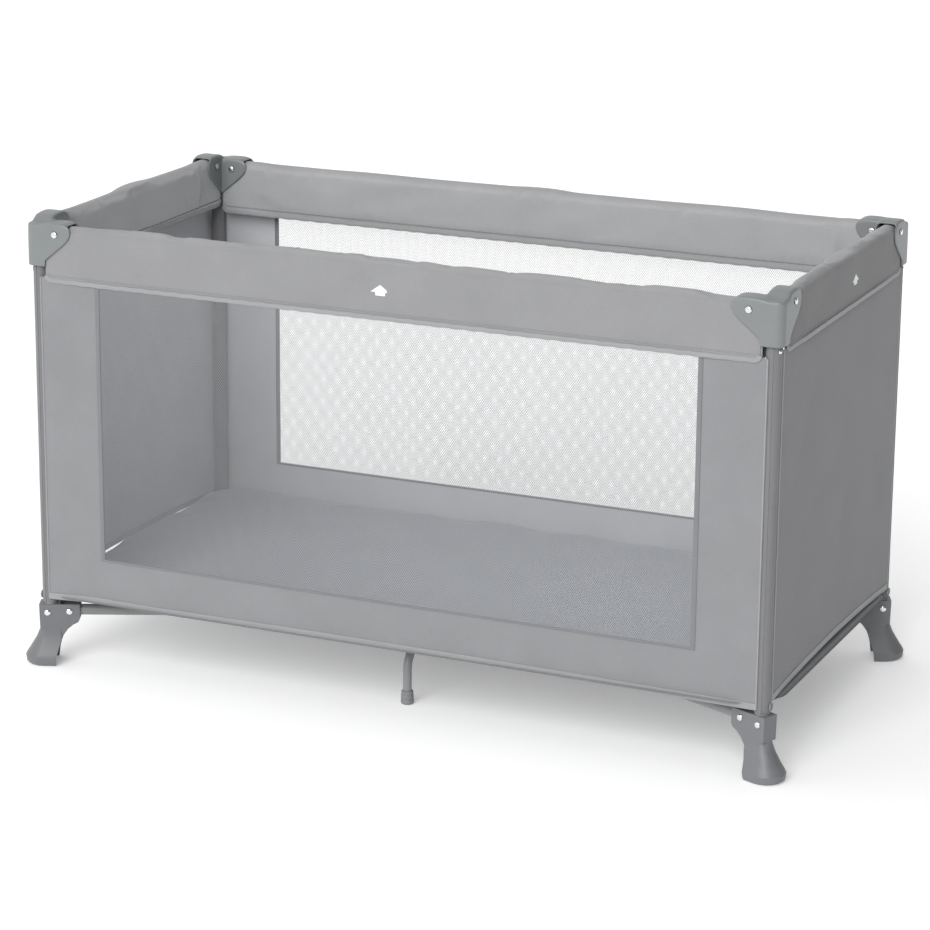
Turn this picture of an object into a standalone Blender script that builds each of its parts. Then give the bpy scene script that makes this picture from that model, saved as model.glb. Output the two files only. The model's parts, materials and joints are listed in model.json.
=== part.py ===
"""Folding travel cot: rigid frame, latched rails, half side panels, floor and mattress.

Frame: +X along the long side, -Y is the front, +Z up, origin under the middle of the feet.
Every piece is built for the corner at +X +Y and mirrored to the other corners.
"""
import math

import bmesh
import bpy
from mathutils import Matrix, Vector

# Driving dimensions, metres.
POST_X = 0.615
POST_Y = 0.300
POST_R = 0.0118
POST_WALL = 0.0015
POST_LOW = 0.0665
POST_TOP = 0.7300
RAIL_Z = 0.7230
SHORT_RISE = 0.0070
RAIL_R = 0.0090
TUBE_WALL = 0.0013
RAIL_PIVOT = 0.036
LATCH_PIVOT = 0.020
TUBE_TAIL = 0.010
ARM_Z = 0.0900
FOOT_PIVOT = 0.032
PIN_R = 0.0030
HOLE_R = 0.0034
HEAD_R = 0.0062
HEAD_H = 0.0024
SEGMENTS = 20
TUBE_SEGMENTS = 16
PIN_SEGMENTS = 10

# Lengths that make every fold joint turn by the same angle.
LONG_RUN = POST_X - RAIL_PIVOT - LATCH_PIVOT
SHORT_RUN = POST_Y - RAIL_PIVOT - LATCH_PIVOT
ARM_RUN = math.hypot(LONG_RUN, SHORT_RUN)
ARM_COS = LONG_RUN / ARM_RUN
ARM_SIN = SHORT_RUN / ARM_RUN
OUTWARD = Vector((ARM_COS, ARM_SIN, 0.0))
SIDEWAYS = Vector((-ARM_SIN, ARM_COS, 0.0))
FOOT_POINT = Vector((POST_X, POST_Y, ARM_Z)) - FOOT_PIVOT * OUTWARD
HUB_POINT = FOOT_POINT - ARM_RUN * OUTWARD

# Corner cap.
CAP_HALF = 0.0178
CAP_CHANNEL = 0.0150
CAP_CEILING = 0.7377
CAP_CORNER_R = 0.0140
CAP_BLOCK = 0.0155
SOCKET_R = 0.0122
EAR_LOW = ((-0.0178, 0.6700), (0.0040, 0.6700), (0.0180, 0.6800), (0.0330, 0.6925),
           (0.0480, 0.7045), (0.0600, 0.7160))
LONG_EAR = EAR_LOW + ((0.0648, 0.7235), (0.0655, 0.7290), (0.0640, 0.7345), (0.0590, 0.7390),
                      (0.0500, 0.7415), (0.0360, 0.7420), (0.0200, 0.7410), (0.0060, 0.7385),
                      (-0.0178, 0.7378))
SHORT_EAR = EAR_LOW + ((0.0648, 0.7245), (0.0655, 0.7310), (0.0645, 0.7380), (0.0600, 0.7445),
                       (0.0520, 0.7482), (0.0420, 0.7493), (0.0300, 0.7489), (0.0200, 0.7480),
                       (0.0140, 0.7470), (0.0080, 0.7418), (0.0020, 0.7388), (-0.0178, 0.7378))

# Foot, as distances outward from the post axis and heights.
FOOT_PROFILE = ((-0.0490, 0.1020), (-0.0490, 0.0775), (-0.0465, 0.0720), (-0.0380, 0.0675),
                (-0.0290, 0.0600), (-0.0220, 0.0500), (-0.0180, 0.0400), (-0.0080, 0.0400),
                (0.0100, 0.0600), (0.0165, 0.0620), (0.0175, 0.1020))
FOOT_HALF = 0.0140
FOOT_SLOT = 0.0096
FOOT_SLOT_LOW = 0.0750
FOOT_SLOT_END = -0.0160
FOOT_SECTIONS = ((0.0000, -0.0085, 0.0375, 0.0270), (0.0040, -0.0090, 0.0420, 0.0295),
                 (0.0130, -0.0100, 0.0430, 0.0300), (0.0200, -0.0115, 0.0390, 0.0270),
                 (0.0300, -0.0145, 0.0325, 0.0220), (0.0450, -0.0190, 0.0235, 0.0172),
                 (0.0610, -0.0165, 0.0170, 0.0140), (0.1020, -0.0160, 0.0175, 0.0140))
FOOT_SHELL = 0.0032
FOOT_HOLLOW_TOP = 0.0460
FOOT_STEPS = 8

# Hub and centre legs.
HUB_X = 0.0410
HUB_Y = 0.0545
HUB_LOW = -0.0110
HUB_ROOF = 0.0145
HUB_HIGH = 0.0165
HUB_CORNER = 0.0140
SLOT_TAIL = 0.0140
LEG_HINGE = 0.0440
LEG_REACH = 0.2350
LEG_R = 0.0070
LEG_BEND = 0.0350
LEG_END = 0.0080
LEG_SLOT = 0.0080
TIP_R = 0.0105
TIP_TOP = 0.0220
TIP_SHELF = 0.0062
LEG_TAIL = 0.0080

# Latch and its release button.
LATCH_HALF = 0.0320
LATCH_IN = 0.0098
LATCH_OUT = 0.0112
LATCH_LOW = -0.0160
LATCH_FLOOR = -0.0145
LATCH_HIGH = 0.0100
LATCH_MOUTH_X = 0.0062
LATCH_MOUTH_Y = 0.0076
BUTTON_LENGTH = 0.0055
BUTTON_WIDTH = 0.0070
BUTTON_LOW = -0.0220
BUTTON_HIGH = -0.0040

# Side panels: an inverted U over the rail with a wall sheet sewn to its outer skin.
SLEEVE_START = 0.0178
SLEEVE_IN = 0.0122
SLEEVE_OUT = 0.0142
LONG_SLEEVE_LOW = 0.6450
SHORT_SLEEVE_LOW = 0.6570
SLEEVE_ROOF = 0.0115
SLEEVE_TOP = 0.0132
SLEEVE_CORNER = 0.0100
SHEET_START = 0.0055
SHEET_IN = 0.0117
SHEET_OUT = 0.0132
SHEET_LAP = 0.0110
PANEL_GAP = 0.0005
WINDOW_MARGIN = 0.1100
WINDOW_LOW = 0.1930
WINDOW_HIGH = 0.6400
WINDOW_DEPTH = 0.0005
LONG_HEM = 0.1120
LONG_ARCH = 0.0070
SHORT_HEM = 0.1220
SHORT_ARCH = 0.0100
ARCH_STEPS = 10

# Floor, mattress and pull strap.
FLOOR_LOW = 0.1180
FLOOR_HIGH = 0.1195
FLOOR_EDGE = 0.0105
FLOOR_NOTCH = 0.0140
FLOOR_SLIT_X = 0.0155
FLOOR_SLIT_Y = 0.0035
MATTRESS_LOW = 0.1235
MATTRESS_HIGH = 0.1400
MATTRESS_INSET = 0.0040
MATTRESS_CORNER = 0.0400
STRAP_HALF = 0.0130
STRAP_THICK = 0.0016
STRAP_REACH = 0.0300

CORNERS = {"fl": (-1, -1), "fr": (1, -1), "rl": (-1, 1), "rr": (1, 1)}


def clear_scene():
    for item in list(bpy.data.objects):
        bpy.data.objects.remove(item, do_unlink=True)


def make_material(name, colour, roughness, metallic=0.0):
    material = bpy.data.materials.new(name)
    material.use_nodes = True
    shader = material.node_tree.nodes["Principled BSDF"]
    shader.inputs["Base Color"].default_value = (*colour, 1.0)
    shader.inputs["Roughness"].default_value = roughness
    shader.inputs["Metallic"].default_value = metallic
    return material


def mesh_from(points, faces):
    shape = bmesh.new()
    corners = [shape.verts.new(point) for point in points]
    for face in faces:
        shape.faces.new([corners[index] for index in face])
    bmesh.ops.recalc_face_normals(shape, faces=shape.faces)
    mesh = bpy.data.meshes.new("shape")
    shape.to_mesh(mesh)
    shape.free()
    return mesh


def loft(rings):
    """Close a stack of equal rings with a face at each end."""
    count = len(rings[0])
    points = [point for ring in rings for point in ring]
    faces = [list(range(count)), [len(points) - count + index for index in range(count)]]
    for level in range(len(rings) - 1):
        for index in range(count):
            after = (index + 1) % count
            low = level * count
            high = low + count
            faces.append([low + index, low + after, high + after, high + index])
    return mesh_from(points, faces)


def prism(outline, start, end):
    """Sweep a 3-D outline between two offsets."""
    return loft([[Vector(point) + shift for point in outline] for shift in (start, end)])


def box(low, high):
    base = [(low[0], low[1], low[2]), (high[0], low[1], low[2]),
            (high[0], high[1], low[2]), (low[0], high[1], low[2])]
    return prism(base, Vector((0, 0, 0)), Vector((0, 0, high[2] - low[2])))


def ring_about(centre, direction, radius, count=SEGMENTS):
    """Points of a circle around a line."""
    axis = Vector(direction).normalized()
    helper = Vector((0, 0, 1)) if abs(axis.z) < 0.9 else Vector((1, 0, 0))
    first = axis.cross(helper).normalized()
    second = axis.cross(first)
    points = []
    for index in range(count):
        angle = 2 * math.pi * (index + 0.5) / count
        offset = first * math.cos(angle) + second * math.sin(angle)
        points.append(Vector(centre) + radius * offset)
    return points


def cylinder(start, end, radius, count=SEGMENTS):
    direction = Vector(end) - Vector(start)
    return loft([ring_about(start, direction, radius, count),
                 ring_about(end, direction, radius, count)])


def tube(start, end, outer, inner, count=SEGMENTS):
    """Open tube: four rings joined in a closed loop."""
    direction = Vector(end) - Vector(start)
    rings = [ring_about(start, direction, inner, count), ring_about(start, direction, outer, count),
             ring_about(end, direction, outer, count), ring_about(end, direction, inner, count)]
    points = [point for ring in rings for point in ring]
    faces = []
    for level in range(4):
        low = level * count
        high = ((level + 1) % 4) * count
        for index in range(count):
            after = (index + 1) % count
            faces.append([low + index, low + after, high + after, high + index])
    return mesh_from(points, faces)


def combine(mesh, tool, operation):
    """Apply one exact boolean and return the new mesh."""
    body = bpy.data.objects.new("body", mesh)
    cutter = bpy.data.objects.new("cutter", tool)
    cutter.hide_render = True
    cutter.display_type = "WIRE"
    for item in (body, cutter):
        bpy.context.scene.collection.objects.link(item)
    modifier = body.modifiers.new("combine", "BOOLEAN")
    modifier.operation = operation
    modifier.solver = "EXACT"
    modifier.object = cutter
    bpy.context.view_layer.update()
    graph = bpy.context.evaluated_depsgraph_get()
    result = bpy.data.meshes.new_from_object(body.evaluated_get(graph))
    for item in (body, cutter):
        bpy.data.objects.remove(item, do_unlink=True)
    return result


def cut(mesh, *tools):
    for tool in tools:
        mesh = combine(mesh, tool, "DIFFERENCE")
    return mesh


def join(mesh, *tools):
    for tool in tools:
        mesh = combine(mesh, tool, "UNION")
    return mesh


def mirrored(mesh, side_x, side_y):
    copy = mesh.copy()
    copy.transform(Matrix.Diagonal((side_x, side_y, 1, 1)))
    if side_x * side_y < 0:
        copy.flip_normals()
    return copy


def swap_sides(mesh):
    """Exchange X and Y so that one builder serves long and short sides."""
    copy = mesh.copy()
    copy.transform(Matrix(((0, 1, 0, 0), (1, 0, 0, 0), (0, 0, 1, 0), (0, 0, 0, 1))))
    copy.flip_normals()
    return copy


def add_node(name, mesh, material, origin):
    mesh.name = name
    mesh.transform(Matrix.Translation(-Vector(origin)))
    mesh.materials.clear()
    mesh.materials.append(material)
    node = bpy.data.objects.new(name, mesh)
    node.location = origin
    bpy.context.scene.collection.objects.link(node)
    return node


def mirrored_point(point, side_x, side_y):
    return Vector((point[0] * side_x, point[1] * side_y, point[2]))


def rounded_rectangle(half_x, half_y, radius, steps=6):
    points = []
    for quadrant, (side_x, side_y) in enumerate(((1, 1), (-1, 1), (-1, -1), (1, -1))):
        for step in range(steps + 1):
            angle = math.pi / 2 * (quadrant + step / steps)
            points.append(((half_x - radius) * side_x + radius * math.cos(angle),
                           (half_y - radius) * side_y + radius * math.sin(angle), 0.0))
    return points


def rivet(centre, direction, half):
    """Pin with a domed head at each end, its shank half a length either way."""
    rings = []
    for side in (-1, 1):
        levels = ((HEAD_H, 0.50), (0.5 * HEAD_H, 0.90), (0.0, 1.0))
        heads = [ring_about(Vector(centre) + Vector(direction) * side * (half + rise),
                            direction, HEAD_R * size, PIN_SEGMENTS) for rise, size in levels]
        shank = ring_about(Vector(centre) + Vector(direction) * side * half, direction, PIN_R,
                           PIN_SEGMENTS)
        rings += heads + [shank] if side < 0 else [shank] + heads[::-1]
    return loft(rings)


def build_cap():
    """Two ears over the rail ends around a socket for the post."""
    long_ear = [(POST_X - reach, POST_Y - CAP_HALF, height) for reach, height in LONG_EAR]
    short_ear = [(POST_X - CAP_HALF, POST_Y - reach, height) for reach, height in SHORT_EAR]
    cap = join(prism(long_ear, Vector((0, 0, 0)), Vector((0, 2 * CAP_HALF, 0))),
               prism(short_ear, Vector((0, 0, 0)), Vector((2 * CAP_HALF, 0, 0))))
    plan = []
    for step in range(6):
        angle = math.pi / 2 * step / 5
        plan.append((POST_X + CAP_HALF - CAP_CORNER_R * (1 - math.cos(angle)),
                     POST_Y + CAP_HALF - CAP_CORNER_R * (1 - math.sin(angle)), 0.6))
    far = 0.08
    plan += [(POST_X - far, POST_Y + CAP_HALF, 0.6), (POST_X - far, POST_Y - far, 0.6),
             (POST_X + CAP_HALF, POST_Y - far, 0.6)]
    cap = combine(cap, prism(plan, Vector((0, 0, 0)), Vector((0, 0, 0.3))), "INTERSECT")
    channel_x = box((POST_X - far, POST_Y - CAP_CHANNEL, 0.6),
                    (POST_X - CAP_BLOCK, POST_Y + CAP_CHANNEL, CAP_CEILING))
    channel_y = box((POST_X - CAP_CHANNEL, POST_Y - far, 0.6),
                    (POST_X + CAP_CHANNEL, POST_Y - CAP_BLOCK, CAP_CEILING + SHORT_RISE))
    socket = cylinder((POST_X, POST_Y, 0.6), (POST_X, POST_Y, POST_TOP + 0.0005), SOCKET_R)
    pin_x = cylinder((POST_X - RAIL_PIVOT, POST_Y - 0.03, RAIL_Z),
                     (POST_X - RAIL_PIVOT, POST_Y + 0.03, RAIL_Z), HOLE_R, PIN_SEGMENTS)
    short_z = RAIL_Z + SHORT_RISE
    pin_y = cylinder((POST_X - 0.03, POST_Y - RAIL_PIVOT, short_z),
                     (POST_X + 0.03, POST_Y - RAIL_PIVOT, short_z), HOLE_R, PIN_SEGMENTS)
    return cut(cap, channel_x, channel_y, socket, pin_x, pin_y)


def foot_ring(height, inner, outer, half, inset=0.0, opened=0.0):
    """D-shaped ring: straight inboard side, rounded outboard side."""
    post = Vector((POST_X, POST_Y, height))
    low = inner - opened
    high = outer - inset
    width = half - inset
    bend = min(width, 0.6 * (high - low))
    points = []
    for step in range(FOOT_STEPS + 1):
        angle = math.pi * (step / FOOT_STEPS - 0.5)
        points.append(post + OUTWARD * (high - bend + bend * math.cos(angle))
                      + SIDEWAYS * width * math.sin(angle))
    points.append(post + OUTWARD * low + SIDEWAYS * width)
    points.append(post + OUTWARD * low - SIDEWAYS * width)
    return points


def build_foot():
    """Clevis for the floor arm, socket for the post, flared hollow base."""
    post = Vector((POST_X, POST_Y, 0))
    outline = [post + OUTWARD * reach + Vector((0, 0, height)) - SIDEWAYS * FOOT_HALF
               for reach, height in FOOT_PROFILE]
    bracket = prism(outline, Vector((0, 0, 0)), SIDEWAYS * 2 * FOOT_HALF)
    base = loft([foot_ring(*section) for section in FOOT_SECTIONS])
    foot = join(base, bracket)
    hollow = [foot_ring(height - 0.002 * (height == 0), inner, outer, half, FOOT_SHELL, 0.03)
              for height, inner, outer, half in FOOT_SECTIONS if height < FOOT_HOLLOW_TOP]
    foot = cut(foot, loft(hollow))
    slot = [(-0.0700, FOOT_SLOT_LOW), (FOOT_SLOT_END, FOOT_SLOT_LOW), (FOOT_SLOT_END, 0.12),
            (-0.0700, 0.12)]
    outline = [post + OUTWARD * reach + Vector((0, 0, height)) - SIDEWAYS * FOOT_SLOT
               for reach, height in slot]
    slot_tool = prism(outline, Vector((0, 0, 0)), SIDEWAYS * 2 * FOOT_SLOT)
    socket = cylinder((POST_X, POST_Y, POST_LOW - 0.0005), (POST_X, POST_Y, 0.12), SOCKET_R)
    pin = cylinder(FOOT_POINT - SIDEWAYS * 0.02, FOOT_POINT + SIDEWAYS * 0.02, HOLE_R, PIN_SEGMENTS)
    return cut(foot, slot_tool, socket, pin)


def build_arm():
    arm = tube(HUB_POINT - OUTWARD * TUBE_TAIL, FOOT_POINT + OUTWARD * TUBE_TAIL,
               RAIL_R, RAIL_R - TUBE_WALL, TUBE_SEGMENTS)
    holes = [cylinder(point - SIDEWAYS * 0.02, point + SIDEWAYS * 0.02, HOLE_R, PIN_SEGMENTS)
             for point in (HUB_POINT, FOOT_POINT)]
    return cut(arm, *holes)


def build_rail(run):
    """Half rail along X from its latch end to the corner pivot, centred on the post row."""
    end = LATCH_PIVOT + run
    rail = tube((LATCH_PIVOT - TUBE_TAIL, 0, RAIL_Z), (end + TUBE_TAIL, 0, RAIL_Z),
                RAIL_R, RAIL_R - TUBE_WALL, TUBE_SEGMENTS)
    holes = [cylinder((point, -0.02, RAIL_Z), (point, 0.02, RAIL_Z), HOLE_R, PIN_SEGMENTS)
             for point in (LATCH_PIVOT, end)]
    return cut(rail, *holes)


def build_hub():
    hub = prism(rounded_rectangle(HUB_X, HUB_Y, HUB_CORNER), Vector((0, 0, ARM_Z + HUB_LOW)),
                Vector((0, 0, ARM_Z + HUB_HIGH)))
    for side_x, side_y in CORNERS.values():
        point = mirrored_point(HUB_POINT, side_x, side_y)
        outward = mirrored_point(OUTWARD, side_x, side_y)
        sideways = Vector((0, 0, 1)).cross(outward)
        start = point - outward * SLOT_TAIL - sideways * FOOT_SLOT
        end = point + outward * 0.05 - sideways * FOOT_SLOT
        outline = [start + Vector((0, 0, -0.03)), end + Vector((0, 0, -0.03)),
                   end + Vector((0, 0, HUB_ROOF)), start + Vector((0, 0, HUB_ROOF))]
        hub = cut(hub, prism(outline, Vector((0, 0, 0)), sideways * 2 * FOOT_SLOT))
    for side in (-1, 1):
        near = side * (LEG_HINGE - 0.012)
        far = side * 0.08
        hub = cut(hub, box((-LEG_SLOT, min(near, far), ARM_Z - 0.03),
                           (LEG_SLOT, max(near, far), ARM_Z + HUB_ROOF - 0.002)))
    for side_x, side_y in CORNERS.values():
        point = mirrored_point(HUB_POINT, side_x, side_y)
        sideways = Vector((0, 0, 1)).cross(mirrored_point(OUTWARD, side_x, side_y))
        hub = join(hub, cylinder(point - sideways * 0.0108, point + sideways * 0.0108, PIN_R, PIN_SEGMENTS))
    for side in (-1, 1):
        pin = cylinder((-0.0095, side * LEG_HINGE, ARM_Z), (0.0095, side * LEG_HINGE, ARM_Z),
                       PIN_R, PIN_SEGMENTS)
        hub = join(hub, pin)
    return hub


def leg_path():
    """Centre line of the rear leg: level run, bend, then straight down."""
    points = [Vector((0, LEG_HINGE - LEG_TAIL, ARM_Z))]
    centre = Vector((0, LEG_REACH - LEG_BEND, ARM_Z - LEG_BEND))
    for step in range(7):
        angle = math.pi / 2 * step / 6
        points.append(centre + LEG_BEND * Vector((0, math.sin(angle), math.cos(angle))))
    points.append(Vector((0, LEG_REACH, LEG_END)))
    return points


def build_leg():
    path = leg_path()
    rings = []
    for index, point in enumerate(path):
        before = path[max(index - 1, 0)]
        after = path[min(index + 1, len(path) - 1)]
        rings.append(ring_about(point, after - before, LEG_R, TUBE_SEGMENTS))
    leg = loft(rings)
    hole = cylinder((-0.02, LEG_HINGE, ARM_Z), (0.02, LEG_HINGE, ARM_Z), HOLE_R, PIN_SEGMENTS)
    return cut(leg, hole)


def build_tip():
    """Rubber cap over the end of a centre leg."""
    low = (0, LEG_REACH, 0)
    down = (0, 0, 1)
    rings = [ring_about(low, down, TIP_R - 0.0012, 20),
             ring_about((0, LEG_REACH, 0.0015), down, TIP_R, 20),
             ring_about((0, LEG_REACH, TIP_TOP - 0.001), down, TIP_R - 0.0008, 20),
             ring_about((0, LEG_REACH, TIP_TOP), down, TIP_R - 0.0018, 20)]
    bore = cylinder((0, LEG_REACH, TIP_SHELF), (0, LEG_REACH, 0.05), LEG_R + 0.0004, 16)
    return cut(loft(rings), bore)


def build_latch():
    """Open-topped U with two cross pins that the half rails turn on, along X."""
    latch = box((-LATCH_HALF, -LATCH_OUT, RAIL_Z + LATCH_LOW),
                (LATCH_HALF, LATCH_OUT, RAIL_Z + LATCH_HIGH))
    latch = cut(latch, box((-0.05, -LATCH_IN, RAIL_Z + LATCH_FLOOR), (0.05, LATCH_IN, RAIL_Z + 0.05)),
                box((-LATCH_MOUTH_X, -LATCH_MOUTH_Y, RAIL_Z - 0.05),
                    (LATCH_MOUTH_X, LATCH_MOUTH_Y, RAIL_Z)))
    pins = [cylinder((side * LATCH_PIVOT, -0.0105, RAIL_Z), (side * LATCH_PIVOT, 0.0105, RAIL_Z),
                     PIN_R, PIN_SEGMENTS) for side in (-1, 1)]
    return join(latch, *pins)


def build_button():
    half = [(-BUTTON_LENGTH, BUTTON_LOW), (BUTTON_LENGTH, BUTTON_LOW),
            (BUTTON_LENGTH, BUTTON_HIGH - 0.002), (BUTTON_LENGTH - 0.0015, BUTTON_HIGH),
            (0.0015 - BUTTON_LENGTH, BUTTON_HIGH), (-BUTTON_LENGTH, BUTTON_HIGH - 0.002)]
    outline = [(reach, -BUTTON_WIDTH, RAIL_Z + height) for reach, height in half]
    return prism(outline, Vector((0, 0, 0)), Vector((0, 2 * BUTTON_WIDTH, 0)))


def skin_outline(post, low, rail_z):
    """Side view of the rail sleeve with its low outer corner rounded off."""
    end = post - SLEEVE_START
    points = [(PANEL_GAP, rail_z + SLEEVE_TOP), (PANEL_GAP, low)]
    for step in range(6):
        angle = math.pi / 2 * step / 5
        points.append((end - SLEEVE_CORNER * (1 - math.sin(angle)),
                       low + SLEEVE_CORNER * (1 - math.cos(angle))))
    points.append((end, rail_z + SLEEVE_TOP))
    return points


def build_panel(post, row, sleeve_low, rail_z, hem, arch, window):
    """Half of one side along X: sleeve over the rail and the wall below it."""
    outline = [(reach, row - SLEEVE_OUT, height)
               for reach, height in skin_outline(post, sleeve_low, rail_z)]
    panel = prism(outline, Vector((0, 0, 0)), Vector((0, 2 * SLEEVE_OUT, 0)))
    hollow = box((-0.02, row - SLEEVE_IN, 0.5), (post, row + SLEEVE_IN, rail_z + SLEEVE_ROOF))
    panel = cut(panel, hollow)
    reach = post - SHEET_START
    wall = [(PANEL_GAP, row + SHEET_IN, sleeve_low + SHEET_LAP)]
    for step in range(ARCH_STEPS + 1):
        place = PANEL_GAP + (reach - PANEL_GAP) * step / ARCH_STEPS
        lift = arch * (1 - (place / reach) ** 2)
        wall.append((place, row + SHEET_IN, hem + lift))
    wall.append((reach, row + SHEET_IN, sleeve_low + SHEET_LAP))
    panel = join(panel, prism(wall, Vector((0, 0, 0)), Vector((0, SHEET_OUT - SHEET_IN, 0))))
    if window:
        panel = cut(panel, box((-0.02, row + SHEET_OUT - WINDOW_DEPTH, WINDOW_LOW),
                               (post - WINDOW_MARGIN, row + SHEET_OUT + 0.0005, WINDOW_HIGH)))
    pivot = post - RAIL_PIVOT
    return cut(panel, cylinder((pivot, row - 0.03, rail_z), (pivot, row + 0.03, rail_z), 0.0045, 12))


def build_floor():
    floor = box((-POST_X - FLOOR_EDGE, -POST_Y - FLOOR_EDGE, FLOOR_LOW),
                (POST_X + FLOOR_EDGE, POST_Y + FLOOR_EDGE, FLOOR_HIGH))
    for side_x, side_y in CORNERS.values():
        centre = (POST_X * side_x, POST_Y * side_y)
        outer = (centre[0] + 0.03 * side_x, centre[1] + 0.03 * side_y)
        corner = box((min(centre[0], outer[0]), min(centre[1], outer[1]), 0.1),
                     (max(centre[0], outer[0]), max(centre[1], outer[1]), 0.13))
        post = cylinder((*centre, 0.1), (*centre, 0.13), FLOOR_NOTCH)
        floor = cut(floor, post, corner)
    return cut(floor, box((-FLOOR_SLIT_X, -FLOOR_SLIT_Y, 0.1), (FLOOR_SLIT_X, FLOOR_SLIT_Y, 0.13)))


def build_mattress():
    rings = []
    for inset, height in ((0.004, MATTRESS_LOW), (0.0, MATTRESS_LOW + 0.004),
                          (0.0, MATTRESS_HIGH - 0.005), (0.005, MATTRESS_HIGH)):
        outline = rounded_rectangle(POST_X - MATTRESS_INSET - inset, POST_Y - MATTRESS_INSET - inset,
                                    MATTRESS_CORNER - inset)
        rings.append([Vector((point[0], point[1], height)) for point in outline])
    return loft(rings)


def build_strap():
    """Webbing strap: a tail fixed on the hub and a flat grip above the floor."""
    low = ARM_Z + HUB_HIGH + 0.0003
    top = FLOOR_HIGH + 0.0006 + STRAP_THICK
    outline = [(-0.0008, low), (0.0008, low), (0.0008, top - STRAP_THICK),
               (STRAP_REACH, top - STRAP_THICK), (STRAP_REACH, top),
               (-STRAP_REACH, top), (-STRAP_REACH, top - STRAP_THICK), (-0.0008, top - STRAP_THICK)]
    points = [(-STRAP_HALF, reach, height) for reach, height in outline]
    return prism(points, Vector((0, 0, 0)), Vector((2 * STRAP_HALF, 0, 0)))


def place_corner_parts(materials):
    """Everything that repeats at the four corners."""
    cap = build_cap()
    foot = build_foot()
    arm = build_arm()
    post = tube((POST_X, POST_Y, POST_LOW), (POST_X, POST_Y, POST_TOP), POST_R, POST_R - POST_WALL)
    long_rail = build_rail(LONG_RUN)
    long_rail.transform(Matrix.Translation((0, POST_Y, 0)))
    short_rail = build_rail(SHORT_RUN)
    short_rail.transform(Matrix.Translation((0, POST_X, SHORT_RISE)))
    short_rail = swap_sides(short_rail)
    short_z = RAIL_Z + SHORT_RISE
    long_panel = build_panel(POST_X, POST_Y, LONG_SLEEVE_LOW, RAIL_Z, LONG_HEM, LONG_ARCH, True)
    short_panel = build_panel(POST_Y, POST_X, SHORT_SLEEVE_LOW, short_z, SHORT_HEM, SHORT_ARCH, False)
    short_panel = swap_sides(short_panel)
    long_pivot = Vector((POST_X - RAIL_PIVOT, POST_Y, RAIL_Z))
    short_pivot = Vector((POST_X, POST_Y - RAIL_PIVOT, short_z))
    long_pin = rivet(long_pivot, Vector((0, 1, 0)), CAP_HALF + 0.0003)
    short_pin = rivet(short_pivot, Vector((1, 0, 0)), CAP_HALF + 0.0003)
    foot_pin = rivet(FOOT_POINT, SIDEWAYS, FOOT_HALF + 0.0003)
    pieces = (("post", post, "sleeve", FOOT_POINT), ("cap", cap, "plastic", FOOT_POINT),
              ("foot", foot, "plastic", FOOT_POINT), ("floor_arm", arm, "tube", HUB_POINT),
              ("arm_pin", foot_pin, "rivet", FOOT_POINT),
              ("rail_long", long_rail, "tube", long_pivot),
              ("rail_short", short_rail, "tube", short_pivot),
              ("rail_pin_long", long_pin, "rivet", FOOT_POINT),
              ("rail_pin_short", short_pin, "rivet", FOOT_POINT),
              ("panel_long", long_panel, "fabric", FOOT_POINT),
              ("panel_short", short_panel, "fabric", FOOT_POINT))
    for corner, (side_x, side_y) in CORNERS.items():
        for name, mesh, material, origin in pieces:
            add_node(f"{name}_{corner}", mirrored(mesh, side_x, side_y), materials[material],
                     mirrored_point(origin, side_x, side_y))


def place_latches(materials):
    """Latches turn on the half rail at the lower X or lower Y side of each edge."""
    latch = build_latch()
    button = build_button()
    for side, name in ((-1, "front"), (1, "rear")):
        shift = Matrix.Translation((0, side * POST_Y, 0))
        for label, mesh, key in (("latch", latch, "steel"), ("latch_button", button, "dark")):
            copy = mesh.copy()
            copy.transform(shift)
            add_node(f"{label}_{name}", copy, materials[key], (-LATCH_PIVOT, side * POST_Y, RAIL_Z))
    for side, name in ((-1, "left"), (1, "right")):
        shift = Matrix.Translation((side * POST_X, 0, SHORT_RISE))
        for label, mesh, key in (("latch", latch, "steel"), ("latch_button", button, "dark")):
            copy = swap_sides(mesh)
            copy.transform(shift)
            add_node(f"{label}_{name}", copy, materials[key],
                     (side * POST_X, -LATCH_PIVOT, RAIL_Z + SHORT_RISE))


def place_centre_parts(materials):
    """Hub, centre legs, floor, mattress and strap."""
    centre = Vector((0, 0, ARM_Z))
    add_node("hub", build_hub(), materials["dark"], centre)
    leg = build_leg()
    tip = build_tip()
    for side, name in ((-1, "front"), (1, "rear")):
        hinge = (0, side * LEG_HINGE, ARM_Z)
        add_node(f"centre_leg_{name}", mirrored(leg, 1, side), materials["tube"], hinge)
        add_node(f"leg_tip_{name}", mirrored(tip, 1, side), materials["rubber"], hinge)
    add_node("floor_panel", build_floor(), materials["fabric"], centre)
    add_node("mattress", build_mattress(), materials["cover"], centre)
    add_node("pull_strap", build_strap(), materials["webbing"], centre)


def main():
    clear_scene()
    materials = {
        "plastic": make_material("cap_plastic", (0.27, 0.30, 0.29), 0.45),
        "sleeve": make_material("post_sleeve", (0.30, 0.31, 0.32), 0.85),
        "tube": make_material("painted_tube", (0.30, 0.31, 0.33), 0.40),
        "rivet": make_material("rivet_steel", (0.70, 0.71, 0.72), 0.25, 1.0),
        "steel": make_material("latch_steel", (0.50, 0.51, 0.52), 0.35, 1.0),
        "dark": make_material("dark_plastic", (0.10, 0.10, 0.11), 0.50),
        "rubber": make_material("grey_rubber", (0.22, 0.22, 0.23), 0.75),
        "fabric": make_material("wall_fabric", (0.33, 0.34, 0.35), 0.90),
        "cover": make_material("mattress_cover", (0.28, 0.30, 0.33), 0.90),
        "webbing": make_material("strap_webbing", (0.16, 0.16, 0.17), 0.85),
    }
    place_corner_parts(materials)
    place_latches(materials)
    place_centre_parts(materials)


main()
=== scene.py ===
# Folding travel cot: fabric walls with netting windows, padded rails, moulded caps and feet.
import json
import math
import random

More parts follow.
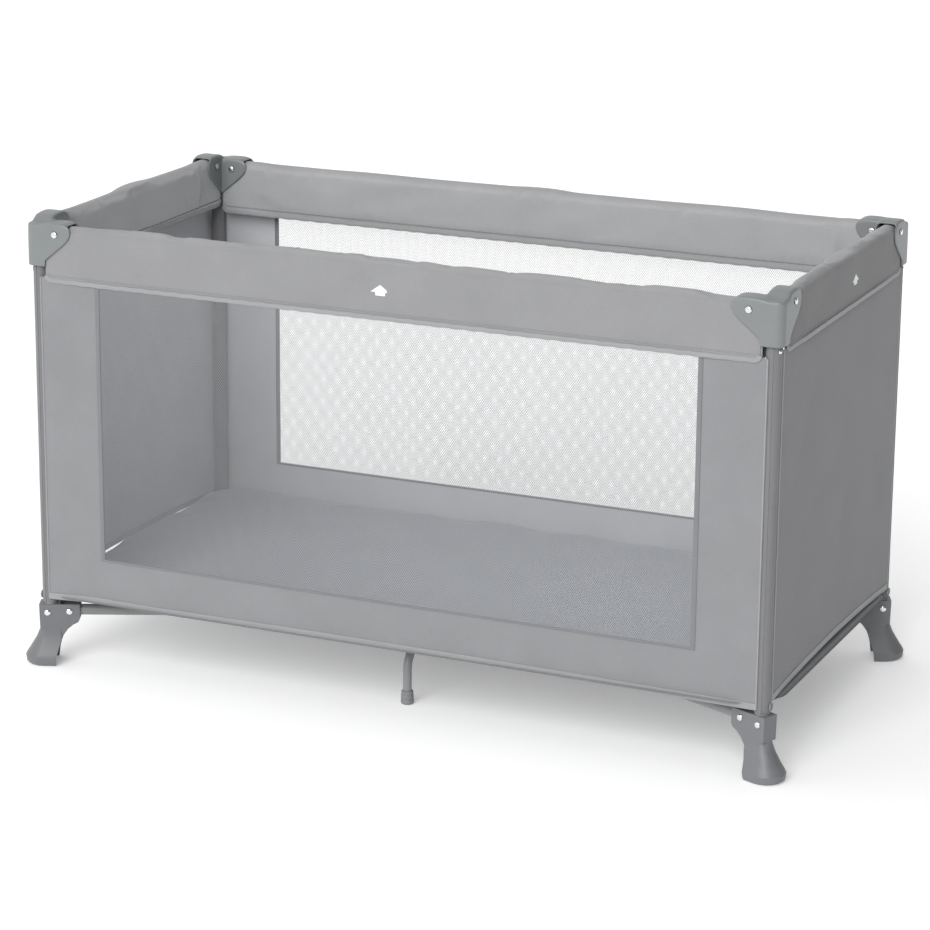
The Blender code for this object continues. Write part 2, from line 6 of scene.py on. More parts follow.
import bmesh
import bpy
import numpy as np
from mathutils import Matrix, Vector


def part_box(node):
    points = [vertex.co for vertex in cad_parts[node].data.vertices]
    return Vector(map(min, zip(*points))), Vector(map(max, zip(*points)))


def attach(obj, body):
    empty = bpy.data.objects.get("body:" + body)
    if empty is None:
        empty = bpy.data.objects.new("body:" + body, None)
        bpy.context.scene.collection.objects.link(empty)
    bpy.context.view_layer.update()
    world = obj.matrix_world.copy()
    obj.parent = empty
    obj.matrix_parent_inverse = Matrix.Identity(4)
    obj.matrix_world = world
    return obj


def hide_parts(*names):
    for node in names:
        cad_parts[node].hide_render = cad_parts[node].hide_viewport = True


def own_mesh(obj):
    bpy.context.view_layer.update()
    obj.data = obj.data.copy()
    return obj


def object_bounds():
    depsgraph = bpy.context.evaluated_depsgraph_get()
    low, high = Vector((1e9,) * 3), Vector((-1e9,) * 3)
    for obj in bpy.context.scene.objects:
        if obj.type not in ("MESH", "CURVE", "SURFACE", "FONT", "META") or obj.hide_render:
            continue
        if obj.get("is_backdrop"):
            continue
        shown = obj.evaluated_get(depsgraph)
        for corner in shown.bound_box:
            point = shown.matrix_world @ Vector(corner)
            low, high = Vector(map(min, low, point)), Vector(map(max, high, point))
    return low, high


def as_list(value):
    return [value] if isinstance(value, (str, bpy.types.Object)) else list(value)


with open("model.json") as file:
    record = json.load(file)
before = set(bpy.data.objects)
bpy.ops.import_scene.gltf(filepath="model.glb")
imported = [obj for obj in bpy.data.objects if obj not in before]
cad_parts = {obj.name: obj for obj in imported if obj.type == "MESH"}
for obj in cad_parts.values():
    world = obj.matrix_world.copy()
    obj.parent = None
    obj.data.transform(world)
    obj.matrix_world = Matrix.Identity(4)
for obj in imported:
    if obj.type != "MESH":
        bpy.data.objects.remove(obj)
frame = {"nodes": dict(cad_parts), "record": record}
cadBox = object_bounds()

joints = {joint["name"]: joint for joint in frame["record"]["behaviour"]["joints"]}
pivot = {name: Vector(joint["pos_m"]) for name, joint in joints.items() if "pos_m" in joint}
postLow, postHigh = (Vector(end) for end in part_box("post_rr"))
postX, postY = (postLow.x + postHigh.x) / 2, (postLow.y + postHigh.y) / 2
postRadius = (postHigh.x - postLow.x) / 2
longPivot, shortPivot = pivot["fold_rail_long_rr"], pivot["fold_rail_short_rr"]
latchReach = abs(pivot["level_latch_rear"].x)
footPoint, hubPoint = pivot["level_corner_rr"], pivot["fold_arm_rr"]
legHinge = pivot["swing_leg_rear"]
outward = (footPoint - hubPoint).normalized()
sideways = Vector((-outward.y, outward.x, 0.0))
corners = {"fl": (-1, -1), "fr": (1, -1), "rl": (-1, 1), "rr": (1, 1)}


def mirrorVector(v, side):
    return Vector((v[0] * side[0], v[1] * side[1], v[2]))


# node helpers
def newGroup(name, inputs, outputs):
    # an input without a value is a vector, the others are plain values
    group = bpy.data.node_groups.new(name, "ShaderNodeTree")
    for label, value in inputs.items():
        kind = "NodeSocketVector" if value is None else "NodeSocketFloat"
        socket = group.interface.new_socket(label, in_out="INPUT", socket_type=kind)
        if value is not None:
            socket.default_value = value
    for label in outputs:
        group.interface.new_socket(label, in_out="OUTPUT", socket_type="NodeSocketFloat")
    return group, group.nodes.new("NodeGroupInput"), group.nodes.new("NodeGroupOutput")


def plug(tree, target, value):
    if isinstance(value, bpy.types.NodeSocket):
        tree.links.new(value, target)
    elif value is not None:
        target.default_value = value


def math2(tree, operation, first, second=None, third=None):
    node = tree.nodes.new("ShaderNodeMath")
    node.operation = operation
    for index, value in enumerate((first, second, third)):
        plug(tree, node.inputs[index], value)
    return node.outputs[0]


def vector2(tree, operation, first, second=None):
    node = tree.nodes.new("ShaderNodeVectorMath")
    node.operation = operation
    plug(tree, node.inputs[0], first)
    plug(tree, node.inputs[1], second)
    return node.outputs[0]


def splitAxes(tree, vector):
    node = tree.nodes.new("ShaderNodeSeparateXYZ")
    plug(tree, node.inputs[0], vector)
    return node.outputs


def noiseAt(tree, vector, scale, detail=3.0, rough=0.55):
    node = tree.nodes.new("ShaderNodeTexNoise")
    plug(tree, node.inputs["Vector"], vector)
    plug(tree, node.inputs["Scale"], scale)
    node.inputs["Detail"].default_value = detail
    node.inputs["Roughness"].default_value = rough
    return node.outputs["Fac"]


def remap(tree, value, low, high, outLow, outHigh):
    node = tree.nodes.new("ShaderNodeMapRange")
    for index, item in enumerate((value, low, high, outLow, outHigh)):
        plug(tree, node.inputs[index], item)
    return node.outputs[0]


def mixColour(tree, factor, first, second, blend="MIX"):
    node = tree.nodes.new("ShaderNodeMix")
    node.data_type = "RGBA"
    node.blend_type = blend
    plug(tree, node.inputs[0], factor)
    plug(tree, node.inputs[6], first)
    plug(tree, node.inputs[7], second)
    return node.outputs[2]


def placeGroup(tree, group, **values):
    node = tree.nodes.new("ShaderNodeGroup")
    node.node_tree = group
    for label, value in values.items():
        plug(tree, node.inputs[label], value)
    return node


# shared effects
def makeWeaveGroup():
    # plain weave of crossing threads, a little uneven
    g, gin, gout = newGroup("plainWeave", {"Place": None, "Pitch": 0.001}, ("Height", "Thread"))
    wobble = noiseAt(g, gin.outputs["Place"], 90.0, 2.0)
    turns = math2(g, "DIVIDE", 2 * math.pi, gin.outputs["Pitch"])
    axes = splitAxes(g, gin.outputs["Place"])
    shift = math2(g, "MULTIPLY", wobble, 2.2)
    along = math2(g, "SINE", math2(g, "ADD", math2(g, "MULTIPLY", axes[0], turns), shift))
    across = math2(g, "SINE", math2(g, "ADD", math2(g, "MULTIPLY", axes[1], turns), shift))
    height = math2(g, "MULTIPLY_ADD", math2(g, "MULTIPLY", along, across), 0.5, 0.5)
    slub = noiseAt(g, vector2(g, "MULTIPLY", gin.outputs["Place"], (60.0, 900.0, 60.0)), 1.0, 2.0)
    slubCross = noiseAt(g, vector2(g, "MULTIPLY", gin.outputs["Place"], (900.0, 60.0, 60.0)), 1.0, 2.0)
    thread = math2(g, "MULTIPLY_ADD", math2(g, "ADD", slub, slubCross), 0.5, 0.0)
    g.links.new(height, gout.inputs["Height"])
    g.links.new(thread, gout.inputs["Thread"])
    return g


def makeMottleGroup():
    # slow cloudy change that fabric and plastic both show
    g, gin, gout = newGroup("slowMottle", {"Place": None, "Size": 9.0, "Amount": 0.08}, ("Shade", "Fine"))
    cloud = noiseAt(g, gin.outputs["Place"], gin.outputs["Size"], 4.0)
    fine = noiseAt(g, gin.outputs["Place"], 420.0, 3.0)
    spread = math2(g, "MULTIPLY", math2(g, "SUBTRACT", cloud, 0.5), gin.outputs["Amount"])
    g.links.new(math2(g, "MULTIPLY_ADD", spread, 2.0, 1.0), gout.inputs["Shade"])
    g.links.new(fine, gout.inputs["Fine"])
    return g


def makeStitchGroup():
    # a row of short stitches at one height: dashes along X, a narrow band across Y
    g, gin, gout = newGroup("stitchRow", {"Along": 0.0, "Across": 0.0, "Row": 0.0, "Step": 0.0045, "Half": 0.0006},
                            ("Mask",))
    place = math2(g, "FRACT", math2(g, "DIVIDE", gin.outputs["Along"], gin.outputs["Step"]))
    dash = math2(g, "LESS_THAN", math2(g, "ABSOLUTE", math2(g, "SUBTRACT", place, 0.5)), 0.34)
    off = math2(g, "ABSOLUTE", math2(g, "SUBTRACT", gin.outputs["Across"], gin.outputs["Row"]))
    near = math2(g, "LESS_THAN", off, gin.outputs["Half"])
    g.links.new(math2(g, "MULTIPLY", dash, near), gout.inputs["Mask"])
    return g


def makeNetGroup():
    # round holes on a staggered lattice, as warp-knit netting has
    g, gin, gout = newGroup("netHoles", {"Place": None, "Pitch": 0.0034, "Radius": 0.415}, ("Hole", "Height"))
    axes = splitAxes(g, gin.outputs["Place"])
    across = math2(g, "DIVIDE", axes[0], gin.outputs["Pitch"])
    down = math2(g, "DIVIDE", axes[1], math2(g, "MULTIPLY", gin.outputs["Pitch"], 1.5))
    reach = []
    for shift in (0.0, 0.5):
        cellX = math2(g, "SUBTRACT", math2(g, "FRACT", math2(g, "ADD", across, shift)), 0.5)
        cellY = math2(g, "SUBTRACT", math2(g, "FRACT", math2(g, "ADD", down, shift)), 0.5)
        squareX = math2(g, "MULTIPLY", cellX, cellX)
        tall = math2(g, "MULTIPLY", cellY, 1.5)
        reach.append(math2(g, "SQRT", math2(g, "ADD", squareX, math2(g, "MULTIPLY", tall, tall))))
    nearest = math2(g, "MINIMUM", reach[0], reach[1])
    hole = math2(g, "LESS_THAN", nearest, gin.outputs["Radius"])
    rim = remap(g, nearest, 0.30, 0.55, 0.0, 1.0)
    g.links.new(hole, gout.inputs["Hole"])
    g.links.new(rim, gout.inputs["Height"])
    return g


def makeArrowGroup():
    # printed arrow pointing up: a triangle over a short shaft
    g, gin, gout = newGroup("printedArrow", {"Along": 0.0, "Across": 0.0, "Centre": 0.0, "Base": 0.0, "Width": 0.0165},
                            ("Mask",))
    side = math2(g, "ABSOLUTE", math2(g, "SUBTRACT", gin.outputs["Along"], gin.outputs["Centre"]))
    rise = math2(g, "SUBTRACT", gin.outputs["Across"], gin.outputs["Base"])
    width = gin.outputs["Width"]
    slope = math2(g, "SUBTRACT", width, math2(g, "MULTIPLY", rise, 1.45))
    head = math2(g, "MULTIPLY", math2(g, "LESS_THAN", side, slope), math2(g, "GREATER_THAN", rise, 0.0))
    shaft = math2(g, "MULTIPLY", math2(g, "LESS_THAN", side, math2(g, "MULTIPLY", width, 0.5)),
                  math2(g, "LESS_THAN", math2(g, "ABSOLUTE", math2(g, "ADD", rise, 0.0026)), 0.0027))
    g.links.new(math2(g, "MAXIMUM", head, shaft), gout.inputs["Mask"])
    return g


groups = {"weave": makeWeaveGroup(), "mottle": makeMottleGroup(), "stitch": makeStitchGroup(),
          "net": makeNetGroup(), "arrow": makeArrowGroup()}


# materials
def newMaterial(name):
    material = bpy.data.materials.new(name)
    material.use_nodes = True
    tree = material.node_tree
    return material, tree, tree.nodes["Principled BSDF"]


def restPlace(tree):
    node = tree.nodes.new("ShaderNodeUVMap")
    node.uv_map = "rest"
    return node.outputs[0]


def solidPlace(tree):
    return tree.nodes.new("ShaderNodeTexCoord").outputs["Object"]


def bumpFrom(tree, shader, height, strength, distance):
    bump = tree.nodes.new("ShaderNodeBump")
    bump.inputs["Strength"].default_value = strength
    bump.inputs["Distance"].default_value = distance
    tree.links.new(height, bump.inputs["Height"])
    tree.links.new(bump.outputs[0], shader.inputs["Normal"])


fabric = {"mottle": 0.10, "mottleSize": 11.0, "weaveDepth": 0.35, "rough": 0.9, "groove": 0.0011, "paintedGrooveShadow": 0.62,
          "stitchShade": 1.25, "arrow": (0.86, 0.87, 0.87, 1.0)}


def scaled(colour, share):
    return tuple(min(1.0, c * share) for c in colour) + (1.0,)


def fabricMaterial(name, colour, pitch=0.0011, sheen=0.25, stitches=(), arrow=None, inner=None, crest=None):
    # inner is a paler copy of the colour, painted light for the light that fills the cot, shown on the inner face: past
    # the crest of a band, or the back of a sheet
    material, tree, shader = newMaterial(name)
    place = restPlace(tree)
    weave = placeGroup(tree, groups["weave"], Place=place, Pitch=pitch)
    cloud = placeGroup(tree, groups["mottle"], Place=place, Size=fabric["mottleSize"], Amount=fabric["mottle"])
    shade = math2(tree, "MULTIPLY", cloud.outputs["Shade"],
                  math2(tree, "MULTIPLY_ADD", weave.outputs["Thread"], 0.24, 0.88))
    base = colour
    axes = splitAxes(tree, place)
    if inner:
        if crest:
            inside = remap(tree, axes[1], crest - 0.006, crest + 0.010, 0.0, 1.0)
        else:
            inside = tree.nodes.new("ShaderNodeNewGeometry").outputs["Backfacing"]
        base = mixColour(tree, inside, (*colour, 1.0), (*inner, 1.0))
    result = vector2(tree, "SCALE", base)
    tree.links.new(shade, result.node.inputs["Scale"])
    height = math2(tree, "ADD", weave.outputs["Height"], math2(tree, "MULTIPLY", cloud.outputs["Fine"], 0.4))
    for row in stitches:
        # each stitch row gets a darker line along it, a painted shadow of the stitched groove, with pale stitch dashes
        # over it
        off = math2(tree, "ABSOLUTE", math2(tree, "SUBTRACT", axes[1], row))
        groove = math2(tree, "LESS_THAN", off, fabric["groove"])
        result = mixColour(tree, groove, result, scaled(colour, fabric["paintedGrooveShadow"]))
        mask = placeGroup(tree, groups["stitch"], Along=axes[0], Across=axes[1], Row=row).outputs["Mask"]
        result = mixColour(tree, mask, result, scaled(colour, fabric["stitchShade"]))
        height = math2(tree, "ADD", height, math2(tree, "MULTIPLY", mask, 1.2))
    if arrow:
        mask = placeGroup(tree, groups["arrow"], Along=axes[0], Across=axes[1], Centre=arrow[0],
                          Base=arrow[1]).outputs["Mask"]
        result = mixColour(tree, mask, result, fabric["arrow"])
    tree.links.new(result, shader.inputs["Base Color"])
    rough = remap(tree, weave.outputs["Height"], 0.0, 1.0, fabric["rough"] - 0.08, fabric["rough"])
    tree.links.new(rough, shader.inputs["Roughness"])
    shader.inputs["Sheen Weight"].default_value = sheen
    shader.inputs["Sheen Roughness"].default_value = 0.5
    shader.inputs["Specular IOR Level"].default_value = 0.25
    bumpFrom(tree, shader, height, fabric["weaveDepth"], 0.0003)
    return material


def netMaterial(name, colour):
    material, tree, shader = newMaterial(name)
    place = restPlace(tree)
    net = placeGroup(tree, groups["net"], Place=place)
    cloud = placeGroup(tree, groups["mottle"], Place=place, Size=6.0, Amount=0.06)
    tree.links.new(vector2(tree, "MULTIPLY", colour, cloud.outputs["Shade"]), shader.inputs["Base Color"])
    tree.links.new(math2(tree, "SUBTRACT", 1.0, net.outputs["Hole"]), shader.inputs["Alpha"])
    tree.links.new(remap(tree, cloud.outputs["Fine"], 0.0, 1.0, 0.7, 0.95), shader.inputs["Roughness"])
    shader.inputs["Specular IOR Level"].default_value = 0.2
    bumpFrom(tree, shader, net.outputs["Height"], 0.4, 0.0004)
    return material


def plasticMaterial(name, colour, rough=0.42, grain=0.25):
    # moulded grain, and a slightly paler colour on sharp convex edges
    material, tree, shader = newMaterial(name)
    cloud = placeGroup(tree, groups["mottle"], Place=solidPlace(tree), Size=30.0, Amount=0.05)
    edgeCurvature = tree.nodes.new("ShaderNodeNewGeometry").outputs["Pointiness"]
    edge = remap(tree, edgeCurvature, 0.52, 0.60, 0.0, 0.35)
    result = mixColour(tree, edge, vector2(tree, "MULTIPLY", colour, cloud.outputs["Shade"]), scaled(colour, 1.35))
    tree.links.new(result, shader.inputs["Base Color"])
    fine = cloud.outputs["Fine"]
    tree.links.new(remap(tree, fine, 0.2, 0.8, rough - 0.06, rough + 0.08), shader.inputs["Roughness"])
    bumpFrom(tree, shader, fine, grain, 0.00015)
    return material


def metalMaterial(name, colour, rough=0.22, metallic=1.0):
    # drawn streaks along the tube
    material, tree, shader = newMaterial(name)
    place = solidPlace(tree)
    streak = noiseAt(tree, vector2(tree, "MULTIPLY", place, (900.0, 900.0, 60.0)), 1.0, 3.0)
    cloud = placeGroup(tree, groups["mottle"], Place=place, Size=60.0, Amount=0.08)
    tree.links.new(vector2(tree, "MULTIPLY", colour, cloud.outputs["Shade"]), shader.inputs["Base Color"])
    shader.inputs["Metallic"].default_value = metallic
    tree.links.new(remap(tree, streak, 0.2, 0.8, rough - 0.05, rough + 0.10), shader.inputs["Roughness"])
    bumpFrom(tree, shader, streak, 0.08, 0.0001)
    return material


# fabric tones: the end-band and end-wall tones are darker copies of the band and wall fabric, painted shade for the
# shaded end sides; the paler inner tones are painted light for the light that fills the cot
shades = {
    "band": (0.270, 0.271, 0.276), "bandEnd": (0.168, 0.169, 0.175), "bandInside": (0.370, 0.372, 0.382),
    "bandEndInside": (0.480, 0.483, 0.497),
    "wall": (0.245, 0.247, 0.257), "endWallPaintedShade": (0.192, 0.193, 0.203), "wallInsidePaintedLight": (0.500, 0.504, 0.522),
    "post": (0.190, 0.191, 0.199), "hem": (0.310, 0.313, 0.322), "binding": (0.205, 0.209, 0.218),
    "net": (0.400, 0.405, 0.420), "mattress": (0.285, 0.302, 0.334), "cap": (0.200, 0.214, 0.218),
    "foot": (0.145, 0.150, 0.158),
}
crests = {kind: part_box(f"panel_{kind}_rr")[1][2] for kind in ("long", "short")}


def bandMaterial(name, kind, arrow=None):
    # each band's inner face takes its paler inner tone, painted light; the end bands also take the darker end tone,
    # painted shade
    row, shade = (0.6560, "band") if kind == "long" else (0.6680, "bandEnd")
    return fabricMaterial(name, shades[shade], arrow=arrow, inner=shades[shade + "Inside"],
                          stitches=(row, 2 * crests[kind] - row), crest=crests[kind])


looks = {
    "band_long": bandMaterial("bandFabric", "long"),
    "band_short": bandMaterial("bandFabricEndPaintedShade", "short"),
    "bandArrowFront": bandMaterial("bandFabricFrontArrow", "long", (-0.0110, 0.6880)),
    "bandArrowRight": bandMaterial("bandFabricRightArrowPaintedShade", "short", (0.0400, 0.6960)),
    # the back faces of the wall sheets take the paler inner tone, painted light
    "wall_long": fabricMaterial("wallFabric", shades["wall"], inner=shades["wallInsidePaintedLight"]),
    "wall_short": fabricMaterial("wallFabricEndPaintedShade", shades["endWallPaintedShade"], inner=shades["wallInsidePaintedLight"]),
    "post": fabricMaterial("postSleeve", shades["post"], pitch=0.0012),
    "hem": fabricMaterial("hemFabric", shades["hem"], pitch=0.0009),
    "binding": fabricMaterial("bindingTape", shades["binding"], pitch=0.0008, sheen=0.1),
    "net": netMaterial("windowNet", shades["net"]),
    "mattress": fabricMaterial("mattressCover", shades["mattress"], pitch=0.0012),
    "floor": fabricMaterial("floorFabric", (0.22, 0.225, 0.235), pitch=0.0014),
    "webbing": fabricMaterial("strapWebbing", (0.10, 0.10, 0.11), pitch=0.0018),
    "cap": plasticMaterial("capPlastic", shades["cap"], 0.34),
    "foot": plasticMaterial("footPlastic", shades["foot"], 0.42),
    "dark": plasticMaterial("hubPlastic", (0.030, 0.031, 0.034), 0.5),
    "rubber": plasticMaterial("legRubber", (0.200, 0.202, 0.206), 0.7, 0.5),
    "tube": metalMaterial("paintedTube", (0.225, 0.228, 0.235), 0.36, 0.0),
    "rivet": metalMaterial("rivetSteel", (0.80, 0.81, 0.82), 0.16),
    "latch": metalMaterial("latchSteel", (0.50, 0.51, 0.52), 0.32),
}
print("materials ready:", len(looks))


# mesh helpers
def sharpenEnds(mesh):
    # flat ends keep a crisp rim, so the skin beside them shades evenly
    rims = set()
    for polygon in mesh.polygons:
        if len(polygon.vertices) > 4:
            polygon.use_smooth = False
            rims.update(polygon.edge_keys)
    for edge in mesh.edges:
        if tuple(edge.key) in rims:
            edge.use_edge_sharp = True


def ringFaces(rings, count, capped=True):
    # quads between successive rings, and a flat face at each end
    faces = []
    for ring in range(rings - 1):
        for turn in range(count):
            after = (turn + 1) % count
            low, high = ring * count, (ring + 1) * count
            faces.append((low + turn, low + after, high + after, high + turn))
    if capped:
        faces.append(tuple(range(count))[::-1])
        faces.append(tuple((rings - 1) * count + turn for turn in range(count)))
    return faces


def fit(piece, body, node=None):
    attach(piece, body)
    if node:
        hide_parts(node)
    return piece


def newPiece(name, points, faces, look, uvs=None, smooth=True, slots=None, faceSlots=None):
    mesh = bpy.data.meshes.new(name)
    mesh.from_pydata([tuple(p) for p in points], [], faces)
    for key in (slots or [look]):
        mesh.materials.append(looks[key])
    if faceSlots:
        mesh.polygons.foreach_set("material_index", faceSlots)
    layer = mesh.uv_layers.new(name="rest")
    if uvs is not None:
        loops = np.zeros(len(mesh.loops), dtype=np.int32)
        mesh.loops.foreach_get("vertex_index", loops)
        layer.data.foreach_set("uv", np.asarray(uvs, dtype=np.float32)[loops].ravel())
    mesh.polygons.foreach_set("use_smooth", [smooth] * len(mesh.polygons))
    sharpenEnds(mesh)
    mesh.update()
    piece = bpy.data.objects.new(name, mesh)
    bpy.context.scene.collection.objects.link(piece)
    return piece


def applyAll(piece):
    bpy.context.view_layer.update()
    graph = bpy.context.evaluated_depsgraph_get()
    mesh = bpy.data.meshes.new_from_object(piece.evaluated_get(graph))
    piece.modifiers.clear()
    piece.data = mesh
    return piece


def sweepTube(path, radius, count=16):
    # rings of a round tube along a list of points, with uvs in metres
    points, uvs = [], []
    travelled = 0.0
    normal = None
    for index, spot in enumerate(path):
        before, after = path[max(index - 1, 0)], path[min(index + 1, len(path) - 1)]
        forward = (after - before).normalized()
        if normal is None:
            normal = forward.orthogonal().normalized()
        normal = (normal - forward * normal.dot(forward)).normalized()
        other = forward.cross(normal)
        if index:
            travelled += (spot - path[index - 1]).length
        for turn in range(count):
            angle = 2 * math.pi * turn / count
            points.append(spot + radius * (normal * math.cos(angle) + other * math.sin(angle)))
            uvs.append((travelled, radius * angle))
    return points, ringFaces(len(path), count), uvs


def mergeParts(parts):
    points, faces, uvs = [], [], []
    for partPoints, partFaces, partUvs in parts:
        base = len(points)
        points += list(partPoints)
        faces += [tuple(index + base for index in face) for face in partFaces]
        uvs += list(partUvs)
    return points, faces, uvs


def lathe(profile, origin, axis, count=28):
    # turn (radius, height) pairs about an axis
    axis = Vector(axis).normalized()
    first = axis.orthogonal().normalized()
    second = axis.cross(first)
    points, uvs = [], []
    for radius, height in profile:
        for turn in range(count):
            angle = 2 * math.pi * turn / count
            points.append(Vector(origin) + axis * height
                          + radius * (first * math.cos(angle) + second * math.sin(angle)))
            uvs.append((radius * angle, height))
    return points, ringFaces(len(profile), count), uvs


def smoothNoise(x, y, seed):
    # a few slow waves with fixed random phases
    spread = random.Random(seed)
    total = 0.0
    for wave in range(5):
        turnX, turnY, phase = spread.uniform(4, 16), spread.uniform(4, 14), spread.uniform(0, 6.28)
        total += math.sin(turnX * x + turnY * y * (1 if wave % 2 else -1) + phase)
    return total / 5


def puff(points, faces, pinned, settings):
    # cloth pressure fills the free skin between its pinned seams, then the travel is capped
    start = np.array([tuple(p) for p in points])
    mesh = bpy.data.meshes.new("filling")
    mesh.from_pydata(start.tolist(), [], faces)
    piece = bpy.data.objects.new("filling", mesh)
    scene = bpy.context.scene
    scene.collection.objects.link(piece)
    group = piece.vertex_groups.new(name="seams")
    for index, weight in enumerate(pinned):
        if weight > 0:
            group.add([index], weight, "REPLACE")
    cloth = piece.modifiers.new("fill", "CLOTH")
    cloth.settings.vertex_group_mass = "seams"
    cloth.settings.quality = 5
    cloth.settings.mass = 0.25
    cloth.settings.tension_stiffness = 18
    cloth.settings.compression_stiffness = 18
    cloth.settings.shear_stiffness = 8
    cloth.settings.bending_stiffness = 0.3
    cloth.settings.shrink_min = -settings["slack"]
    cloth.settings.use_pressure = True
    cloth.settings.uniform_pressure_force = settings["pressure"]
    cloth.settings.effector_weights.gravity = 0.0
    cloth.collision_settings.use_collision = False
    scene.frame_start, scene.frame_end = 1, settings["frames"]
    cloth.point_cache.frame_start, cloth.point_cache.frame_end = 1, settings["frames"]
    for step in range(1, settings["frames"] + 1):
        scene.frame_set(step)
    shaped = piece.evaluated_get(bpy.context.evaluated_depsgraph_get()).data
    moved = np.array([tuple(v.co) for v in shaped.vertices])
    bpy.data.objects.remove(piece, do_unlink=True)
    scene.frame_set(1)
    travel = moved - start
    length = np.linalg.norm(travel, axis=1, keepdims=True)
    length[length == 0] = 1.0
    capped = travel / length * np.minimum(length, settings["cap"])
    return start + capped * (1.0 - np.array(pinned)[:, None])


def ease(value, low, high):
    t = min(1.0, max(0.0, (value - low) / (high - low)))
    return t * t * (3 - 2 * t)


# padded rail bands
band = {
    "start": 0.0178, "lowEdge": {"long": 0.6450, "short": 0.6570}, "skin": 0.0142, "lining": 0.0120,
    "roofGap": 0.0016, "corner": 0.010, "stations": {"long": 124, "short": 54}, "hem": 0.0075,
    "pressure": 3.4, "frames": 14, "slack": 0.014, "cap": 0.0030, "dent": 0.0006,
}
sides = {"front": (True, -1), "rear": (True, 1), "left": (False, -1), "right": (False, 1)}


def sideReach(isLong):
    return postX if isLong else postY


def sidePlace(isLong, sign):
    # maps (place along the side, distance outboard of the post row, height) to the world
    def place(along, out, height):
        if isLong:
            return Vector((along, sign * (postY + out), height))
        return Vector((sign * (postX + out), along, height))
    return place


def sideCorner(isLong, sign, half):
    row = "r" if (sign if isLong else half) > 0 else "f"
    return row + ("r" if (half if isLong else sign) > 0 else "l")


def bandSection(low, top):
    # closed loop round the padded skin, then its lining: (out, height, pin weight, angle on the shoulder)
    shoulder = top - 0.0125
    skin = []
    for index in range(15):
        t = index / 14
        pin = 1.0 if index < 2 else 0.0
        skin.append((band["skin"] - 0.0007 * (1 - t), low + (shoulder - low) * t, pin, 0.0))
    for index in range(1, 8):
        angle = math.pi / 2 * index / 8
        skin.append((band["skin"] * math.cos(angle), shoulder + 0.0125 * math.sin(angle), 0.0, angle))
    loop = skin + [(0.0, top, 0.0, 0.0)] + [(-out, *rest) for out, *rest in reversed(skin)]
    roof = top - band["roofGap"]
    inner = [(band["lining"], low + 0.0008), (band["lining"], low + 0.03), (band["lining"], roof - 0.012),
             (band["lining"] - 0.003, roof - 0.003), (0.004, roof)]
    lining = [(-out, height, 1.0, 0.0) for out, height in inner] + \
        [(out, height, 1.0, 0.0) for out, height in reversed(inner)]
    return loop + lining, len(loop)


def lowCorner(along, end):
    past = abs(along) - (end - band["corner"])
    if past <= 0:
        return 0.0
    past = min(past, band["corner"])
    return band["corner"] - math.sqrt(max(band["corner"] ** 2 - past ** 2, 0.0))


def evened(filled, start, isLong, sign, half):
    # the filling may swell the skin but hardly dent it, and both halves meet at the same slope
    across = 1 if isLong else 0
    row = sign * (postY if isLong else postX)
    was, now = start[:, :, across] - row, filled[:, :, across] - row
    reach = np.maximum(np.abs(was) - band["dent"], np.abs(now))
    filled[:, :, across] = row + np.where(was < 0, -reach, reach)
    filled[:, :, 2] = np.maximum(filled[:, :, 2], start[:, :, 2] - band["dent"])
    for step in (-2, -1, 1, 2):
        share = 1.0 if abs(step) == 1 else 0.6
        for axis in (across, 2):
            filled[half + step, :, axis] += share * (filled[half, :, axis] - filled[half + step, :, axis])
        filled[half + step, :, 1 - across] = start[half + step, :, 1 - across]
    filled[half, :, 1 - across] = 0.0
    return filled


def bandShape(isLong, sign, seed):
    # every station of the whole side, filled by cloth pressure
    kind = "long" if isLong else "short"
    low = band["lowEdge"][kind]
    top = crests[kind]
    section, skinCount = bandSection(low, top)
    end = sideReach(isLong) - band["start"]
    place = sidePlace(isLong, sign)
    half = band["stations"][kind]
    alongs = [end * station / half for station in range(-half, half + 1)]
    points, uvs, pinned = [], [], []
    for along in alongs:
        fromCap = end - abs(along)
        loose = ease(fromCap, 0.046, 0.085)
        centre = math.exp(-(along / 0.05) ** 2)
        overLatch = math.exp(-(along / 0.048) ** 4)
        for index, (out, height, pin, angle) in enumerate(section):
            if angle:
                power = 1 - 0.62 * overLatch
                out = math.copysign(band["skin"] * math.cos(angle) ** power, out)
                height = top - 0.0125 * (1 - math.sin(angle) ** power)
            share = (height - low) / (top - low)
            lifted = height + lowCorner(along, end) * max(0.0, 1 - share * 2.5) ** 2
            if index < skinCount:
                sway = 0.0020 * smoothNoise(along * 2.2, height * 3, seed) + 0.0016 * centre
                lifted += sway * share * loose
                pucker = math.sin(along * 390 + 5 * smoothNoise(along, height, seed + 5))
                pucker *= math.exp(-(height - low) / 0.013)
                slack = 0.0010 * smoothNoise(along * 5, height * 9, seed + 7) * min(1.0, 2 * share)
                thick = (0.0012 * math.sin(math.pi * min(1.0, share)) + slack + 0.00028 * pucker) * loose
                out += math.copysign(thick, out) if out else 0.0
            points.append(place(along, out, lifted))
            uvs.append((along, height if out >= 0 else 2 * crests[kind] - height))
            pinned.append(max(pin, 1 - loose, 1.0 if abs(along) == end else 0.0))
    count = len(section)
    filled = puff(points, ringFaces(len(alongs), count, False), pinned, band).reshape(len(alongs), count, 3)
    shaped = evened(filled, np.array(points).reshape(filled.shape), isLong, sign, half)
    return shaped.reshape(-1, 3), uvs, count, half


def cutBand(shape, isLong, sign, half, look, name):
    # one half of the side as a closed pad of its own
    points, uvs, count, stations = shape
    first, last = (0, stations) if half < 0 else (stations, 2 * stations)
    part = points[first * count:(last + 1) * count]
    faces = ringFaces(last - first + 1, count)
    if (sign > 0) == isLong:
        faces = [face[::-1] for face in faces]
    return newPiece(name, part, faces, look, uvs[first * count:(last + 1) * count])


